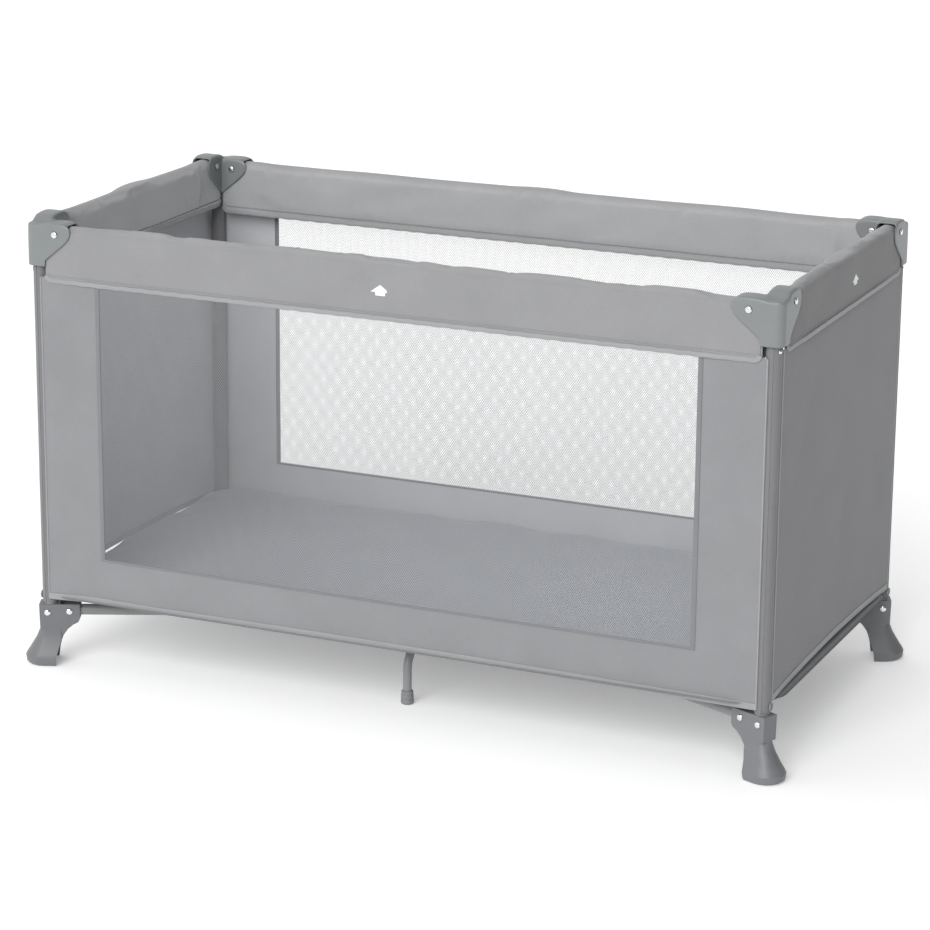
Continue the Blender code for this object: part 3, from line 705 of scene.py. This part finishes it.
def tapeStrip(path, width, thick, outDirection, lean=0.0):
    # a flat folded tape with soft edges, swept along a path
    points, uvs = [], []
    profile = [(-0.5, 0.0), (-0.5, 0.6), (-0.40, 1.0), (0.40, 1.0), (0.5, 0.6), (0.5, 0.0)]
    travelled = 0.0
    for index, spot in enumerate(path):
        before, after = path[max(index - 1, 0)], path[min(index + 1, len(path) - 1)]
        across = (after - before).cross(outDirection).normalized()
        if index:
            travelled += (spot - path[index - 1]).length
        for a, b in profile:
            points.append(spot + across * a * width + outDirection * (b * thick + lean))
            uvs.append((travelled, a * width))
    return points, ringFaces(len(path), len(profile)), uvs


def bandTrim(isLong, sign, half, name):
    # folded hem along both lower edges, and piping up the end beside the post
    kind = "long" if isLong else "short"
    low = band["lowEdge"][kind]
    end = sideReach(isLong) - band["start"]
    place = sidePlace(isLong, sign)
    outDirection = (place(0, 1, 0) - place(0, 0, 0)).normalized()
    parts = []
    for facing in (1, -1):
        alongs = np.linspace(0.0, end - band["corner"], 90 if isLong else 46)
        path = [place(half * along, facing * (band["skin"] - 0.0009 + 0.0010 * ease(end - along, 0.04, 0.09)),
                      low + band["hem"] / 2 - 0.0012 + 0.0004 * math.sin(along * 210))
                for along in alongs]
        turn = [place(half * (end - band["corner"] * (1 - math.sin(a))), facing * (band["skin"] - 0.0009),
                      low + band["hem"] / 2 - 0.0012 + (band["corner"] - 0.002) * (1 - math.cos(a)))
                for a in np.linspace(0.15, math.pi / 2, 8)]
        parts.append(tapeStrip(path + turn, band["hem"], 0.0011, outDirection * facing))
    for out in (-0.0105, 0.0105):
        sweep = [place(half * (end - band["corner"] + (band["corner"] + 0.0010) * math.sin(a)), out,
                       low + 0.0010 + band["corner"] * (1 - math.cos(a))) for a in np.linspace(0.1, math.pi / 2, 10)]
        rise = [place(half * (end + 0.0010), out, low + band["corner"] + up)
                for up in np.linspace(0.004, 0.044, 8)]
        parts.append(sweepTube(sweep + rise, 0.0020, 10))
    merged = mergeParts(parts)
    return newPiece(name, *merged[:2], "hem", merged[2])


# wall sheets
wall = {
    "start": 0.0055, "offset": 0.0124, "windowSide": 0.110, "windowLow": 0.193,
    "hem": {"long": 0.1120, "short": 0.1220}, "arch": {"long": 0.0070, "short": 0.0100},
    "lap": 0.0075, "columns": {"long": 64, "short": 34}, "rows": 56, "slack": 0.0026,
}


def wallHeight(along, isLong, sign):
    kind = "long" if isLong else "short"
    share = along / (sideReach(isLong) - wall["start"])
    height = wall["hem"][kind] + wall["arch"][kind] * (1 - share ** 2)
    if isLong and sign < 0:
        height -= 0.0022 * (1 + share) * (1 - 0.6 * share ** 2)
        height += 0.0030 * math.exp(-((share + 0.86) / 0.12) ** 2)
    return height


def wallOut(along, height, isLong, seed):
    # stretched at the posts, a little slack in the middle, and never inboard of the folded latch
    reach = sideReach(isLong) - wall["start"]
    share = abs(along) / reach
    low, top = 0.115, 0.650
    rise = min(1.0, max(0.0, (height - low) / (top - low)))
    free = math.sin(math.pi * rise) ** 0.7 * math.cos(math.pi / 2 * min(1.0, share)) ** 0.6
    drift = wall["slack"] * abs(smoothNoise(along * 1.7, height * 1.5, seed)) * free
    fromPost = reach - abs(along)
    pull = 0.0009 * math.sin(height * 52 + 4 * smoothNoise(along * 0.6, height, seed + 3))
    pull *= math.exp(-fromPost / 0.035)
    fromHem = height - wallHeight(along, isLong, 1)
    pucker = 0.0005 * math.sin(along * 240 + 6 * smoothNoise(along, height, seed + 9))
    pucker *= math.exp(-max(0.0, fromHem) / 0.016)
    return wall["offset"] + drift + abs(pull + pucker) * ease(fromPost, 0.0, 0.02)


def wallSheet(isLong, sign, half, name, seed):
    # one sheet: woven side and bottom strips round a netting window
    kind = "long" if isLong else "short"
    place = sidePlace(isLong, sign)
    reach = sideReach(isLong) - wall["start"]
    windowEnd = sideReach(isLong) - wall["windowSide"]
    top = band["lowEdge"][kind] + wall["lap"]
    columns = wall["columns"][kind]
    if isLong:
        alongs = list(np.linspace(0.0, windowEnd, columns - 14)) + list(np.linspace(windowEnd, reach, 15))[1:]
    else:
        alongs = list(np.linspace(0.0, reach, columns))
    lowRows = 11
    rows = wall["rows"]
    points, uvs = [], []
    for along in alongs:
        hem = wallHeight(half * along, isLong, sign)
        heights = list(np.linspace(hem, wall["windowLow"], lowRows)) + \
            list(np.linspace(wall["windowLow"], top, rows - lowRows + 1))[1:]
        for height in heights:
            points.append(place(half * along, wallOut(half * along, height, isLong, seed), height))
            uvs.append((half * along, height))
    faces, faceSlots = [], []
    flip = (half > 0) == ((sign > 0) == isLong)
    for column in range(len(alongs) - 1):
        for row in range(rows - 1):
            a, b = column * rows + row, (column + 1) * rows + row
            face = (a, b, b + 1, a + 1)
            faces.append(face[::-1] if flip else face)
            inWindow = isLong and alongs[column + 1] <= windowEnd + 1e-6 and row >= lowRows - 1
            faceSlots.append(1 if inWindow else 0)
    cloth = f"wall_{kind}"
    return newPiece(name, points, faces, cloth, uvs, slots=[cloth, "net"], faceSlots=faceSlots), (reach, top)


def wallTrims(isLong, sign, half, seed, corner, kind):
    # folded hem along the bottom, bound window edges, and piping beside the post
    place = sidePlace(isLong, sign)
    reach = sideReach(isLong) - wall["start"]
    outDirection = (place(0, 1, 0) - place(0, 0, 0)).normalized()

    def onWall(along, height, lift=0.0):
        return place(half * along, wallOut(half * along, height, isLong, seed) + lift, height)

    hemPath = [onWall(along, wallHeight(half * along, isLong, sign) + 0.0048)
               for along in np.linspace(0.0, reach, 60)]
    merged = mergeParts([tapeStrip(hemPath, 0.0105, 0.0008, outDirection * facing, 0.0003) for facing in (1, -1)])
    pieces = [newPiece(f"wallHem_{kind}_{corner}", *merged[:2], "hem", merged[2])]
    cordPath = [onWall(reach - 0.0004, height) for height in
                np.linspace(wallHeight(half * reach, isLong, sign) + 0.001, band["lowEdge"][kind] + 0.006, 40)]
    cord = sweepTube(cordPath, 0.0015, 10)
    pieces.append(newPiece(f"wallPiping_{kind}_{corner}", *cord[:2], "hem", cord[2]))
    if isLong:
        windowEnd = sideReach(True) - wall["windowSide"]
        parts = []
        for facing in (1, -1):
            upright = [onWall(windowEnd + 0.0015, height) for height in
                       np.linspace(wall["windowLow"] - 0.003, band["lowEdge"]["long"] + 0.006, 46)]
            parts.append(tapeStrip(upright, 0.0075, 0.0007, outDirection * facing, 0.0002))
            sill = [onWall(along, wall["windowLow"] - 0.0010) for along in np.linspace(0.0, windowEnd + 0.004, 60)]
            parts.append(tapeStrip(sill, 0.0040, 0.0007, outDirection * facing, 0.0002))
        merged = mergeParts(parts)
        pieces.append(newPiece(f"windowBinding_{corner}", *merged[:2], "binding", merged[2]))
    return pieces


def squashSide(piece, isLong, side):
    if isLong:
        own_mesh(piece)
    else:
        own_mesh(piece)


def buildSides():
    for number, (sideName, (isLong, sign)) in enumerate(sides.items()):
        kind = "long" if isLong else "short"
        shape = bandShape(isLong, sign, 11 + number * 7)
        for half in (-1, 1):
            corner = sideCorner(isLong, sign, half)
            look = f"band_{kind}"
            if sideName == "front" and half < 0:
                look = "bandArrowFront"
            if sideName == "right" and half > 0:
                look = "bandArrowRight"
            pad = cutBand(shape, isLong, sign, half, look, f"railBand_{kind}_{corner}")
            trim = bandTrim(isLong, sign, half, f"bandHem_{kind}_{corner}")
            sheet, (reach, top) = wallSheet(isLong, sign, half, f"wallSheet_{kind}_{corner}", 40 + number)
            trims = wallTrims(isLong, sign, half, 40 + number, corner, kind)
            for piece in [pad, trim, sheet] + trims:
                fit(piece, f"corner_{corner}")
                squashSide(piece, isLong, corners[corner])
            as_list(trims)
            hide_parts(f"panel_{kind}_{corner}")
        print("side ready:", sideName)


# posts, caps, feet
postSleeve = {"gap": 0.0007, "low": 0.1035, "high": 0.6690, "rings": 64, "count": 28}


def makePostSleeve(corner, side):
    s = postSleeve
    centre = Vector((side[0] * postX, side[1] * postY, 0))
    seed = sum(map(ord, corner))
    points, uvs = [], []
    for ring in range(s["rings"] + 1):
        height = s["low"] + (s["high"] - s["low"]) * ring / s["rings"]
        tuck = 0.0005 * (math.exp(-(height - s["low"]) / 0.005) + math.exp(-(s["high"] - height) / 0.005))
        for turn in range(s["count"]):
            angle = 2 * math.pi * turn / s["count"]
            ripple = 0.00030 * smoothNoise(math.cos(angle) * 0.5, height * 7, seed)
            radius = postRadius + s["gap"] + ripple - tuck
            points.append(centre + Vector((radius * math.cos(angle), radius * math.sin(angle), height)))
            uvs.append((radius * angle, height))
    sleeve = newPiece(f"postSleeve_{corner}", points, ringFaces(s["rings"] + 1, s["count"]), "post", uvs)
    cords = []
    for turn in (0.62, -0.62):
        angle = math.atan2(side[1], side[0]) + turn
        seam = centre + Vector((math.cos(angle), math.sin(angle), 0)) * (postRadius + s["gap"])
        path = [seam + Vector((0, 0, height)) for height in
                np.linspace(s["low"] + 0.001, s["high"] - 0.001, 40)]
        cords.append(sweepTube(path, 0.0009, 8))
    seams = mergeParts(cords)
    line = newPiece(f"postSeam_{corner}", *seams[:2], "post", seams[2])
    for piece in (sleeve, line):
        fit(piece, f"corner_{corner}")


rivetHead = [(0.0, 0.0), (0.0050, 0.0), (0.0054, 0.0004), (0.0052, 0.0011), (0.0042, 0.0018), (0.0024, 0.0023),
             (0.0, 0.0024)]
hardware = {
    "snap": [(0.0, 0.0), (0.0064, 0.0), (0.0070, 0.0006), (0.0070, 0.0016), (0.0062, 0.0025), (0.0048, 0.0026),
             (0.0041, 0.0017), (0.0031, 0.0017), (0.0027, 0.0030), (0.0015, 0.0037), (0.0, 0.0038)],
    "screw": [(0.0, 0.0), (0.0032, 0.0), (0.0032, 0.0006), (0.0026, 0.0013), (0.0012, 0.0017), (0.0, 0.0018)],
    "snapHeight": 0.1150, "screwHeight": 0.6625, "postRivet": 0.0040, "postRivetHeight": 0.0880,
}


def riveted(centre, axis, half, shank=True):
    # a domed head at each end of a shank
    parts = [lathe(rivetHead, centre + axis * facing * half, axis * facing, 24) for facing in (1, -1)]
    if shank:
        parts.append(sweepTube([centre - axis * (half + 0.0001), centre + axis * (half + 0.0001)], 0.0030, 12))
    return mergeParts(parts)


def makeCornerHardware(corner, side):
    centre = Vector((side[0] * postX, side[1] * postY, 0))
    outX = Vector((side[0], 0, 0))
    skin = postRadius + postSleeve["gap"]
    across = mirrorVector(sideways, side)
    out = mirrorVector(outward, side)
    capHalf = (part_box("cap_rr")[1][0] - postX) + 0.0001
    footHalf = 0.0141
    diagonal = Vector((side[0], side[1] * 0.6, 0)).normalized()
    snapSpot = centre + outX * (skin + 0.0001) + Vector((0, 0, hardware["snapHeight"]))
    screwSpot = centre + diagonal * skin + Vector((0, 0, hardware["screwHeight"]))
    postSpot = centre + out * hardware["postRivet"] + Vector((0, 0, hardware["postRivetHeight"]))
    longRivet = riveted(mirrorVector(longPivot, side), Vector((0, 1, 0)), capHalf)
    shortRivet = riveted(mirrorVector(shortPivot, side), Vector((1, 0, 0)), capHalf)
    made = [("sleeveSnap", lathe(hardware["snap"], snapSpot, outX), "cap", None),
            ("capScrew", lathe(hardware["screw"], screwSpot, diagonal, 18), "rivet", None),
            ("railRivetLong", longRivet, "rivet", f"rail_pin_long_{corner}"),
            ("railRivetShort", shortRivet, "rivet", f"rail_pin_short_{corner}"),
            ("footRivetArm", riveted(mirrorVector(footPoint, side), across, footHalf), "rivet", f"arm_pin_{corner}"),
            ("footRivetPost", riveted(postSpot, across, footHalf, False), "rivet", None)]
    for name, parts, look, node in made:
        piece = newPiece(f"{name}_{corner}", *parts[:2], look, parts[2])
        fit(piece, f"corner_{corner}", node)


crown = {"voxel": 0.0015, "low": 0.712, "high": 0.730, "all": 2, "crown": 40}
footRound = 0.0014


def moulded(name, node, look, width):
    # a copy of a moulded solid with its sharp edges rounded over
    source = frame["nodes"][node]
    shape = bmesh.new()
    shape.from_mesh(source.data)
    shape.transform(source.matrix_world)
    bmesh.ops.remove_doubles(shape, verts=shape.verts, dist=0.00002)
    bmesh.ops.dissolve_limit(shape, angle_limit=math.radians(1.5), verts=shape.verts, edges=shape.edges)
    mesh = bpy.data.meshes.new(name)
    shape.to_mesh(mesh)
    shape.free()
    mesh.materials.clear()
    mesh.materials.append(looks[look])
    piece = bpy.data.objects.new(name, mesh)
    bpy.context.scene.collection.objects.link(piece)
    bevel = piece.modifiers.new("round", "BEVEL")
    bevel.width = width
    bevel.segments = 3
    bevel.limit_method = "ANGLE"
    bevel.angle_limit = math.radians(28)
    applyAll(piece)
    for polygon in piece.data.polygons:
        polygon.use_smooth = True
    weighted = piece.modifiers.new("even", "WEIGHTED_NORMAL")
    weighted.keep_sharp = False
    return piece


def softMoulding(name, node, look):
    # a cap: the solid is rebuilt as an even skin, then its crown is eased into one soft form
    source = frame["nodes"][node]
    mesh = source.data.copy()
    mesh.transform(source.matrix_world)
    piece = bpy.data.objects.new(name, mesh)
    bpy.context.scene.collection.objects.link(piece)
    even = piece.modifiers.new("even", "REMESH")
    even.mode = "VOXEL"
    even.voxel_size = crown["voxel"]
    applyAll(piece)
    for group, low, high in (("all", -1.0, 0.0), ("crown", crown["low"], crown["high"])):
        weights = piece.vertex_groups.new(name=group)
        for vertex in piece.data.vertices:
            weights.add([vertex.index], ease(vertex.co.z, low, high), "REPLACE")
        soften = piece.modifiers.new(group, "SMOOTH")
        soften.factor = 0.5
        soften.iterations = crown[group]
        soften.vertex_group = group
    applyAll(piece)
    piece.data.materials.clear()
    piece.data.materials.append(looks[look])
    for polygon in piece.data.polygons:
        polygon.use_smooth = True
    return piece


def buildCorners():
    for corner, side in corners.items():
        makePostSleeve(corner, side)
        makeCornerHardware(corner, side)
        cap = softMoulding(f"cornerCap_{corner}", f"cap_{corner}", "cap")
        foot = moulded(f"cornerFoot_{corner}", f"foot_{corner}", "foot", footRound)
        fit(cap, f"corner_{corner}", f"cap_{corner}")
        fit(foot, f"corner_{corner}", f"foot_{corner}")
    print("corners ready")


# tubes, hub, latches and legs
tubeWork = {"radius": 0.0090, "tail": 0.010, "count": 28}


def tubeBetween(name, start, end, body, node):
    length = (end - start).length
    radius = tubeWork["radius"]
    lip = [(0.0, 0.0006), (radius - 0.0022, 0.0006), (radius - 0.0008, 0.0), (radius, 0.0010)]
    profile = lip + [(radius, length * t) for t in np.linspace(0.05, 0.95, 8)]
    profile += [(wide, length - up) for wide, up in reversed(lip)]
    points, faces, uvs = lathe(profile, start, (end - start).normalized(), tubeWork["count"])
    fit(newPiece(name, points, faces, "tube", uvs), body, node)


def buildTubes():
    tail = tubeWork["tail"]
    near = latchReach - tail
    for corner, side in corners.items():
        out = mirrorVector(outward, side)
        runs = {
            "floorArm": ("arm", "floor_arm", mirrorVector(hubPoint, side) - out * tail,
                         mirrorVector(footPoint, side) + out * tail),
            "halfRailLong": ("rail_long", "rail_long", mirrorVector((near, longPivot.y, longPivot.z), side),
                             mirrorVector((longPivot.x + tail, longPivot.y, longPivot.z), side)),
            "halfRailShort": ("rail_short", "rail_short", mirrorVector((shortPivot.x, near, shortPivot.z), side),
                              mirrorVector((shortPivot.x, shortPivot.y + tail, shortPivot.z), side)),
        }
        for name, (body, node, start, end) in runs.items():
            tubeBetween(f"{name}_{corner}", start, end, f"{body}_{corner}", f"{node}_{corner}")
    fit(moulded("centreHub", "hub", "dark", 0.0012), "hub", "hub")
    for sideName in sides:
        latch, button = f"latch_{sideName}", f"latch_button_{sideName}"
        fit(moulded(f"railLatch_{sideName}", latch, "latch", 0.0004), latch, latch)
        fit(moulded(f"latchRelease_{sideName}", button, "dark", 0.0008), f"button_{sideName}", button)
    print("tubes, hub and latches ready")


leg = {"reach": 0.235, "bend": 0.035, "radius": 0.0070,
       "tip": [(0.0, 0.0), (0.0086, 0.0), (0.0100, 0.0008), (0.0105, 0.0020), (0.0103, 0.0070),
               (0.0098, 0.0076), (0.0098, 0.0086), (0.0103, 0.0092), (0.0100, 0.0150), (0.0095, 0.0156),
               (0.0095, 0.0166), (0.0099, 0.0172), (0.0096, 0.0208), (0.0088, 0.0219), (0.0074, 0.0220)]}


def buildLegs():
    height = legHinge.z
    for sideName, sy in (("front", -1), ("rear", 1)):
        path = [Vector((0, sy * y, height)) for y in np.linspace(legHinge.y - 0.008, leg["reach"] - leg["bend"], 12)]
        centre = Vector((0, sy * (leg["reach"] - leg["bend"]), height - leg["bend"]))
        path += [centre + leg["bend"] * Vector((0, sy * math.sin(a), math.cos(a)))
                 for a in np.linspace(0, math.pi / 2, 12)[1:]]
        path += [Vector((0, sy * leg["reach"], z)) for z in (0.045, 0.030, 0.008)]
        points, faces, uvs = sweepTube(path, leg["radius"], 24)
        bent = newPiece(f"centreLeg_{sideName}", points, faces, "tube", uvs)
        fit(bent, f"leg_{sideName}", f"centre_leg_{sideName}")
        points, faces, uvs = lathe(leg["tip"], (0, sy * leg["reach"], 0), (0, 0, 1))
        tip = newPiece(f"legTip_{sideName}", points, faces, "rubber", uvs)
        fit(tip, f"leg_{sideName}", f"leg_tip_{sideName}")
    print("centre legs ready")


# mattress, floor and strap
mattress = {"inset": 0.0040, "corner": 0.040, "columns": 46, "rows": 24, "edge": 0.0060, "clearance": 0.0006,
            "extra": 0.0095, "pressure": 1.6, "frames": 12, "slack": 0.03, "cap": 0.0028}


def roundedSpot(x, y, halfX, halfY, corner):
    # squeeze a point of a rectangle into the rounded rectangle
    over = max(0.0, abs(x) - (halfX - corner)), max(0.0, abs(y) - (halfY - corner))
    reach = math.hypot(*over)
    if min(over) > 0:
        scale = max(over) / reach
        x = math.copysign(halfX - corner + over[0] * scale, x)
        y = math.copysign(halfY - corner + over[1] * scale, y)
        return x, y, corner - max(over)
    return x, y, min(halfX - abs(x), halfY - abs(y))


def reachWalls(points, halfX, halfY, extra):
    # between the posts the floor sheet runs out to the wall sheets
    def push(value, half, other, otherHalf):
        nearWall = ease(abs(value), half - 0.03, half)
        return math.copysign(extra, value) * nearWall * ease(-abs(other), 0.028 - otherHalf, 0.055 - otherHalf)

    for p in points:
        x, y = p.x, p.y
        p.x += push(x, halfX, y, halfY)
        p.y += push(y, halfY, x, halfX)


def padShape(settings, halfX, halfY, low, high, seed):
    # top and bottom skins of the whole pad, sharing their rim, as one grid of points
    nx, ny = settings["columns"], settings["rows"]
    middle, thick = (low + high) / 2, (high - low) / 2
    points, uvs, index = [], [], {}
    for layer in (0, 1):
        for i in range(-nx, nx + 1):
            for j in range(-ny, ny + 1):
                rim = abs(i) == nx or abs(j) == ny
                if layer and rim:
                    index[1, i, j] = index[0, i, j]
                    continue
                eased = math.sin(math.pi / 2 * i / nx) * 0.35 + 0.65 * i / nx
                easedY = math.sin(math.pi / 2 * j / ny) * 0.35 + 0.65 * j / ny
                x, y, fromEdge = roundedSpot(halfX * eased, halfY * easedY, halfX, halfY, settings["corner"])
                t = min(1.0, max(0.0, fromEdge) / settings["edge"])
                swell = 0.0 if rim else math.sqrt(max(0.0, 1 - (1 - t) ** 2))
                dip = 0.0011 * (0.5 + smoothNoise(x * 1.1, y * 1.5, seed)) * ease(fromEdge, 0.0, 0.08) if layer else 0.0
                index[layer, i, j] = len(points)
                points.append(Vector((x, y, middle + (thick if layer else -thick) * swell - dip)))
                uvs.append((x, y))
    return points, uvs, index


def padFaces(index, spans):
    faces = []
    for i in range(spans[0], spans[1]):
        for j in range(spans[2], spans[3]):
            top = [index[1, i, j], index[1, i + 1, j], index[1, i + 1, j + 1], index[1, i, j + 1]]
            low = [index[0, i, j], index[0, i, j + 1], index[0, i + 1, j + 1], index[0, i + 1, j]]
            faces += [tuple(top), tuple(low)]
    return faces


def cutPad(shape, coordinates, settings, side, look, name):
    # one quarter as a closed pad, with flat walls on the two middle lines
    points, uvs, index = shape
    nx, ny = settings["columns"], settings["rows"]
    spans = (min(0, side[0] * nx), max(0, side[0] * nx), min(0, side[1] * ny), max(0, side[1] * ny))
    faces = padFaces(index, spans)
    loopX = [index[0, 0, j] for j in range(spans[2], spans[3] + 1)]
    loopX += [index[1, 0, j] for j in range(spans[3], spans[2] - 1, -1)]
    loopY = [index[0, i, 0] for i in range(spans[0], spans[1] + 1)]
    loopY += [index[1, i, 0] for i in range(spans[1], spans[0] - 1, -1)]
    for loop, flip in ((loopX, side[0] > 0), (loopY, side[1] < 0)):
        tidy = [v for k, v in enumerate(loop) if v != loop[k - 1]]
        faces.append(tuple(tidy[::-1] if flip else tidy))
    used = sorted({v for face in faces for v in face})
    order = {old: new for new, old in enumerate(used)}
    faces = [tuple(order[v] for v in face) for face in faces]
    return newPiece(name, [coordinates[v] for v in used], faces, look, [uvs[v] for v in used])


def foldAway(piece, corner, side):
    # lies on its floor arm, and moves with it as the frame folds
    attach(piece, f"arm_{corner}")
    mirrorVector(sideways, side)
    mirrorVector(hubPoint, side)
    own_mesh(piece)


def buildInside():
    low, high = (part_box("mattress")[end][2] for end in (0, 1))
    halfX, halfY = postX - mattress["inset"], postY - mattress["inset"]
    shape = padShape(mattress, halfX, halfY, low - 0.0008, high - mattress["clearance"], 5)
    reachWalls(shape[0], halfX, halfY, mattress["extra"])
    nx, ny = mattress["columns"], mattress["rows"]
    pinned = [0.0] * len(shape[0])
    for (layer, i, j), spot in shape[2].items():
        if layer == 0 or abs(i) == nx or abs(j) == ny:
            pinned[spot] = 1.0
    filled = puff(shape[0], padFaces(shape[2], (-nx, nx, -ny, ny)), pinned, mattress)
    floorLow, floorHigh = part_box("floor_panel")
    floorSettings = {"columns": 44, "rows": 24, "edge": 0.002, "corner": 0.030, "extra": 0.0105}
    floorShape = padShape(floorSettings, floorHigh[0], floorHigh[1], floorLow[2], floorHigh[2], 3)
    flat = [p.copy() for p in floorShape[0]]
    for p in flat:
        p.z = min(max(p.z, floorLow[2]), floorHigh[2])
    reachWalls(flat, floorHigh[0], floorHigh[1], floorSettings["extra"])
    for corner, side in corners.items():
        pad = cutPad(shape, filled, mattress, side, "mattress", f"mattressQuarter_{corner}")
        foldAway(pad, corner, side)
        ground = cutPad(floorShape, flat, floorSettings, side, "floor", f"floorQuarter_{corner}")
        foldAway(ground, corner, side)
        if corner == "fl":
            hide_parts("mattress")
            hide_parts("floor_panel")
    print("mattress and floor ready")


strap = {"half": 0.013, "thick": 0.0015, "reach": 0.030}


def buildStrap():
    lowEnd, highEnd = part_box("pull_strap")
    top = highEnd[2] - strap["thick"] - 0.0002
    reach = strap["reach"] - 0.0005
    width = 2 * strap["half"] - 0.001
    gripPath = [Vector((0, y, top + 0.0001)) for y in np.linspace(-reach, reach, 20)]
    stemPath = [Vector((0, 0.0007, z)) for z in np.linspace(lowEnd[2] + 0.0002, top, 6)]
    grip = tapeStrip(gripPath, width, strap["thick"], Vector((0, 0, 1)))
    stem = tapeStrip(stemPath, width, 0.0013, Vector((0, -1, 0)))
    merged = mergeParts([grip, stem])
    fit(newPiece("pullStrap", *merged[:2], "webbing", merged[2]), "hub", "pull_strap")
    print("strap ready")


# studio
studio = {
    "camera": (2.0779, -4.7387, 1.8380), "yaw": 113.74, "pitch": -16.21, "roll": 0.467, "lens": 128.0,
    "skyLevel": 0.60, "skySide": 0.52, "sunPower": 2.1, "sunFrom": (0.04, -1.0, 0.66), "sunSoft": 42,
    "floorShade": 0.92, "floorGlow": 0.22,
}


def buildCamera():
    scene = bpy.context.scene
    camera = bpy.data.objects.new("camera", bpy.data.cameras.new("camera"))
    scene.collection.objects.link(camera)
    yaw, pitch, roll = (math.radians(studio[key]) for key in ("yaw", "pitch", "roll"))
    forward = Vector((math.cos(yaw) * math.cos(pitch), math.sin(yaw) * math.cos(pitch), math.sin(pitch)))
    right = Vector((math.sin(yaw), -math.cos(yaw), 0))
    up = right.cross(forward)
    rightTurned = right * math.cos(roll) + up * math.sin(roll)
    upTurned = up * math.cos(roll) - right * math.sin(roll)
    camera.matrix_world = Matrix((
        (rightTurned.x, upTurned.x, -forward.x, studio["camera"][0]),
        (rightTurned.y, upTurned.y, -forward.y, studio["camera"][1]),
        (rightTurned.z, upTurned.z, -forward.z, studio["camera"][2]),
        (0, 0, 0, 1)))
    camera.data.sensor_width = 36.0
    camera.data.lens = studio["lens"]
    camera.data.clip_end = 60
    scene.camera = camera


def buildLight():
    scene = bpy.context.scene
    scene.view_settings.view_transform = "Standard"
    world = bpy.data.worlds.new("studioWorld")
    world.use_nodes = True
    tree = world.node_tree
    direction = splitAxes(tree, tree.nodes.new("ShaderNodeTexCoord").outputs["Generated"])
    slope = math2(tree, "MULTIPLY", direction[0], studio["skySide"])
    level = math2(tree, "SUBTRACT", studio["skyLevel"], slope)
    tree.links.new(level, tree.nodes["Background"].inputs[1])
    tree.nodes["Background"].inputs[0].default_value = (1.0, 1.0, 1.0, 1.0)
    scene.world = world
    sun = bpy.data.lights.new("softKey", "SUN")
    sun.energy = studio["sunPower"]
    sun.angle = math.radians(studio["sunSoft"])
    lamp = bpy.data.objects.new("softKey", sun)
    lamp.rotation_euler = Vector(studio["sunFrom"]).to_track_quat("Z", "Y").to_euler()
    scene.collection.objects.link(lamp)


def buildGround():
    # the ground stays under the feet, which sink past the hub as the cot folds
    size, steps = 30.0, 24
    points, faces, uvs = [], [], []
    for i in range(steps + 1):
        for j in range(steps + 1):
            points.append((-size + 2 * size * i / steps, -size + 2 * size * j / steps, -0.0005))
            uvs.append((i / steps, j / steps))
    for i in range(steps):
        for j in range(steps):
            a = i * (steps + 1) + j
            faces.append((a, a + steps + 1, a + steps + 2, a + 1))
    material, tree, shader = newMaterial("studioFloor")
    looks["studioFloor"] = material
    tint = noiseAt(tree, solidPlace(tree), 1.2, 2.0)
    shade = studio["floorShade"]
    colour = mixColour(tree, tint, (shade - 0.01,) * 3 + (1,), (shade + 0.01,) * 3 + (1,))
    tree.links.new(colour, shader.inputs["Base Color"])
    shader.inputs["Roughness"].default_value = 0.95
    shader.inputs["Specular IOR Level"].default_value = 0.05
    shader.inputs["Emission Color"].default_value = (1.0, 1.0, 1.0, 1.0)
    shader.inputs["Emission Strength"].default_value = studio["floorGlow"]
    ground = newPiece("studioGround", points, faces, "studioFloor", uvs)
    ground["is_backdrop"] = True
    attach(ground, "corner_fl")
    print("studio ready")


buildSides()
buildCorners()
buildTubes()
buildLegs()
buildInside()
buildStrap()
buildCamera()
buildLight()
buildGround()

[[[float(v) for v in end] for end in box] for box in (cadBox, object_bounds())]
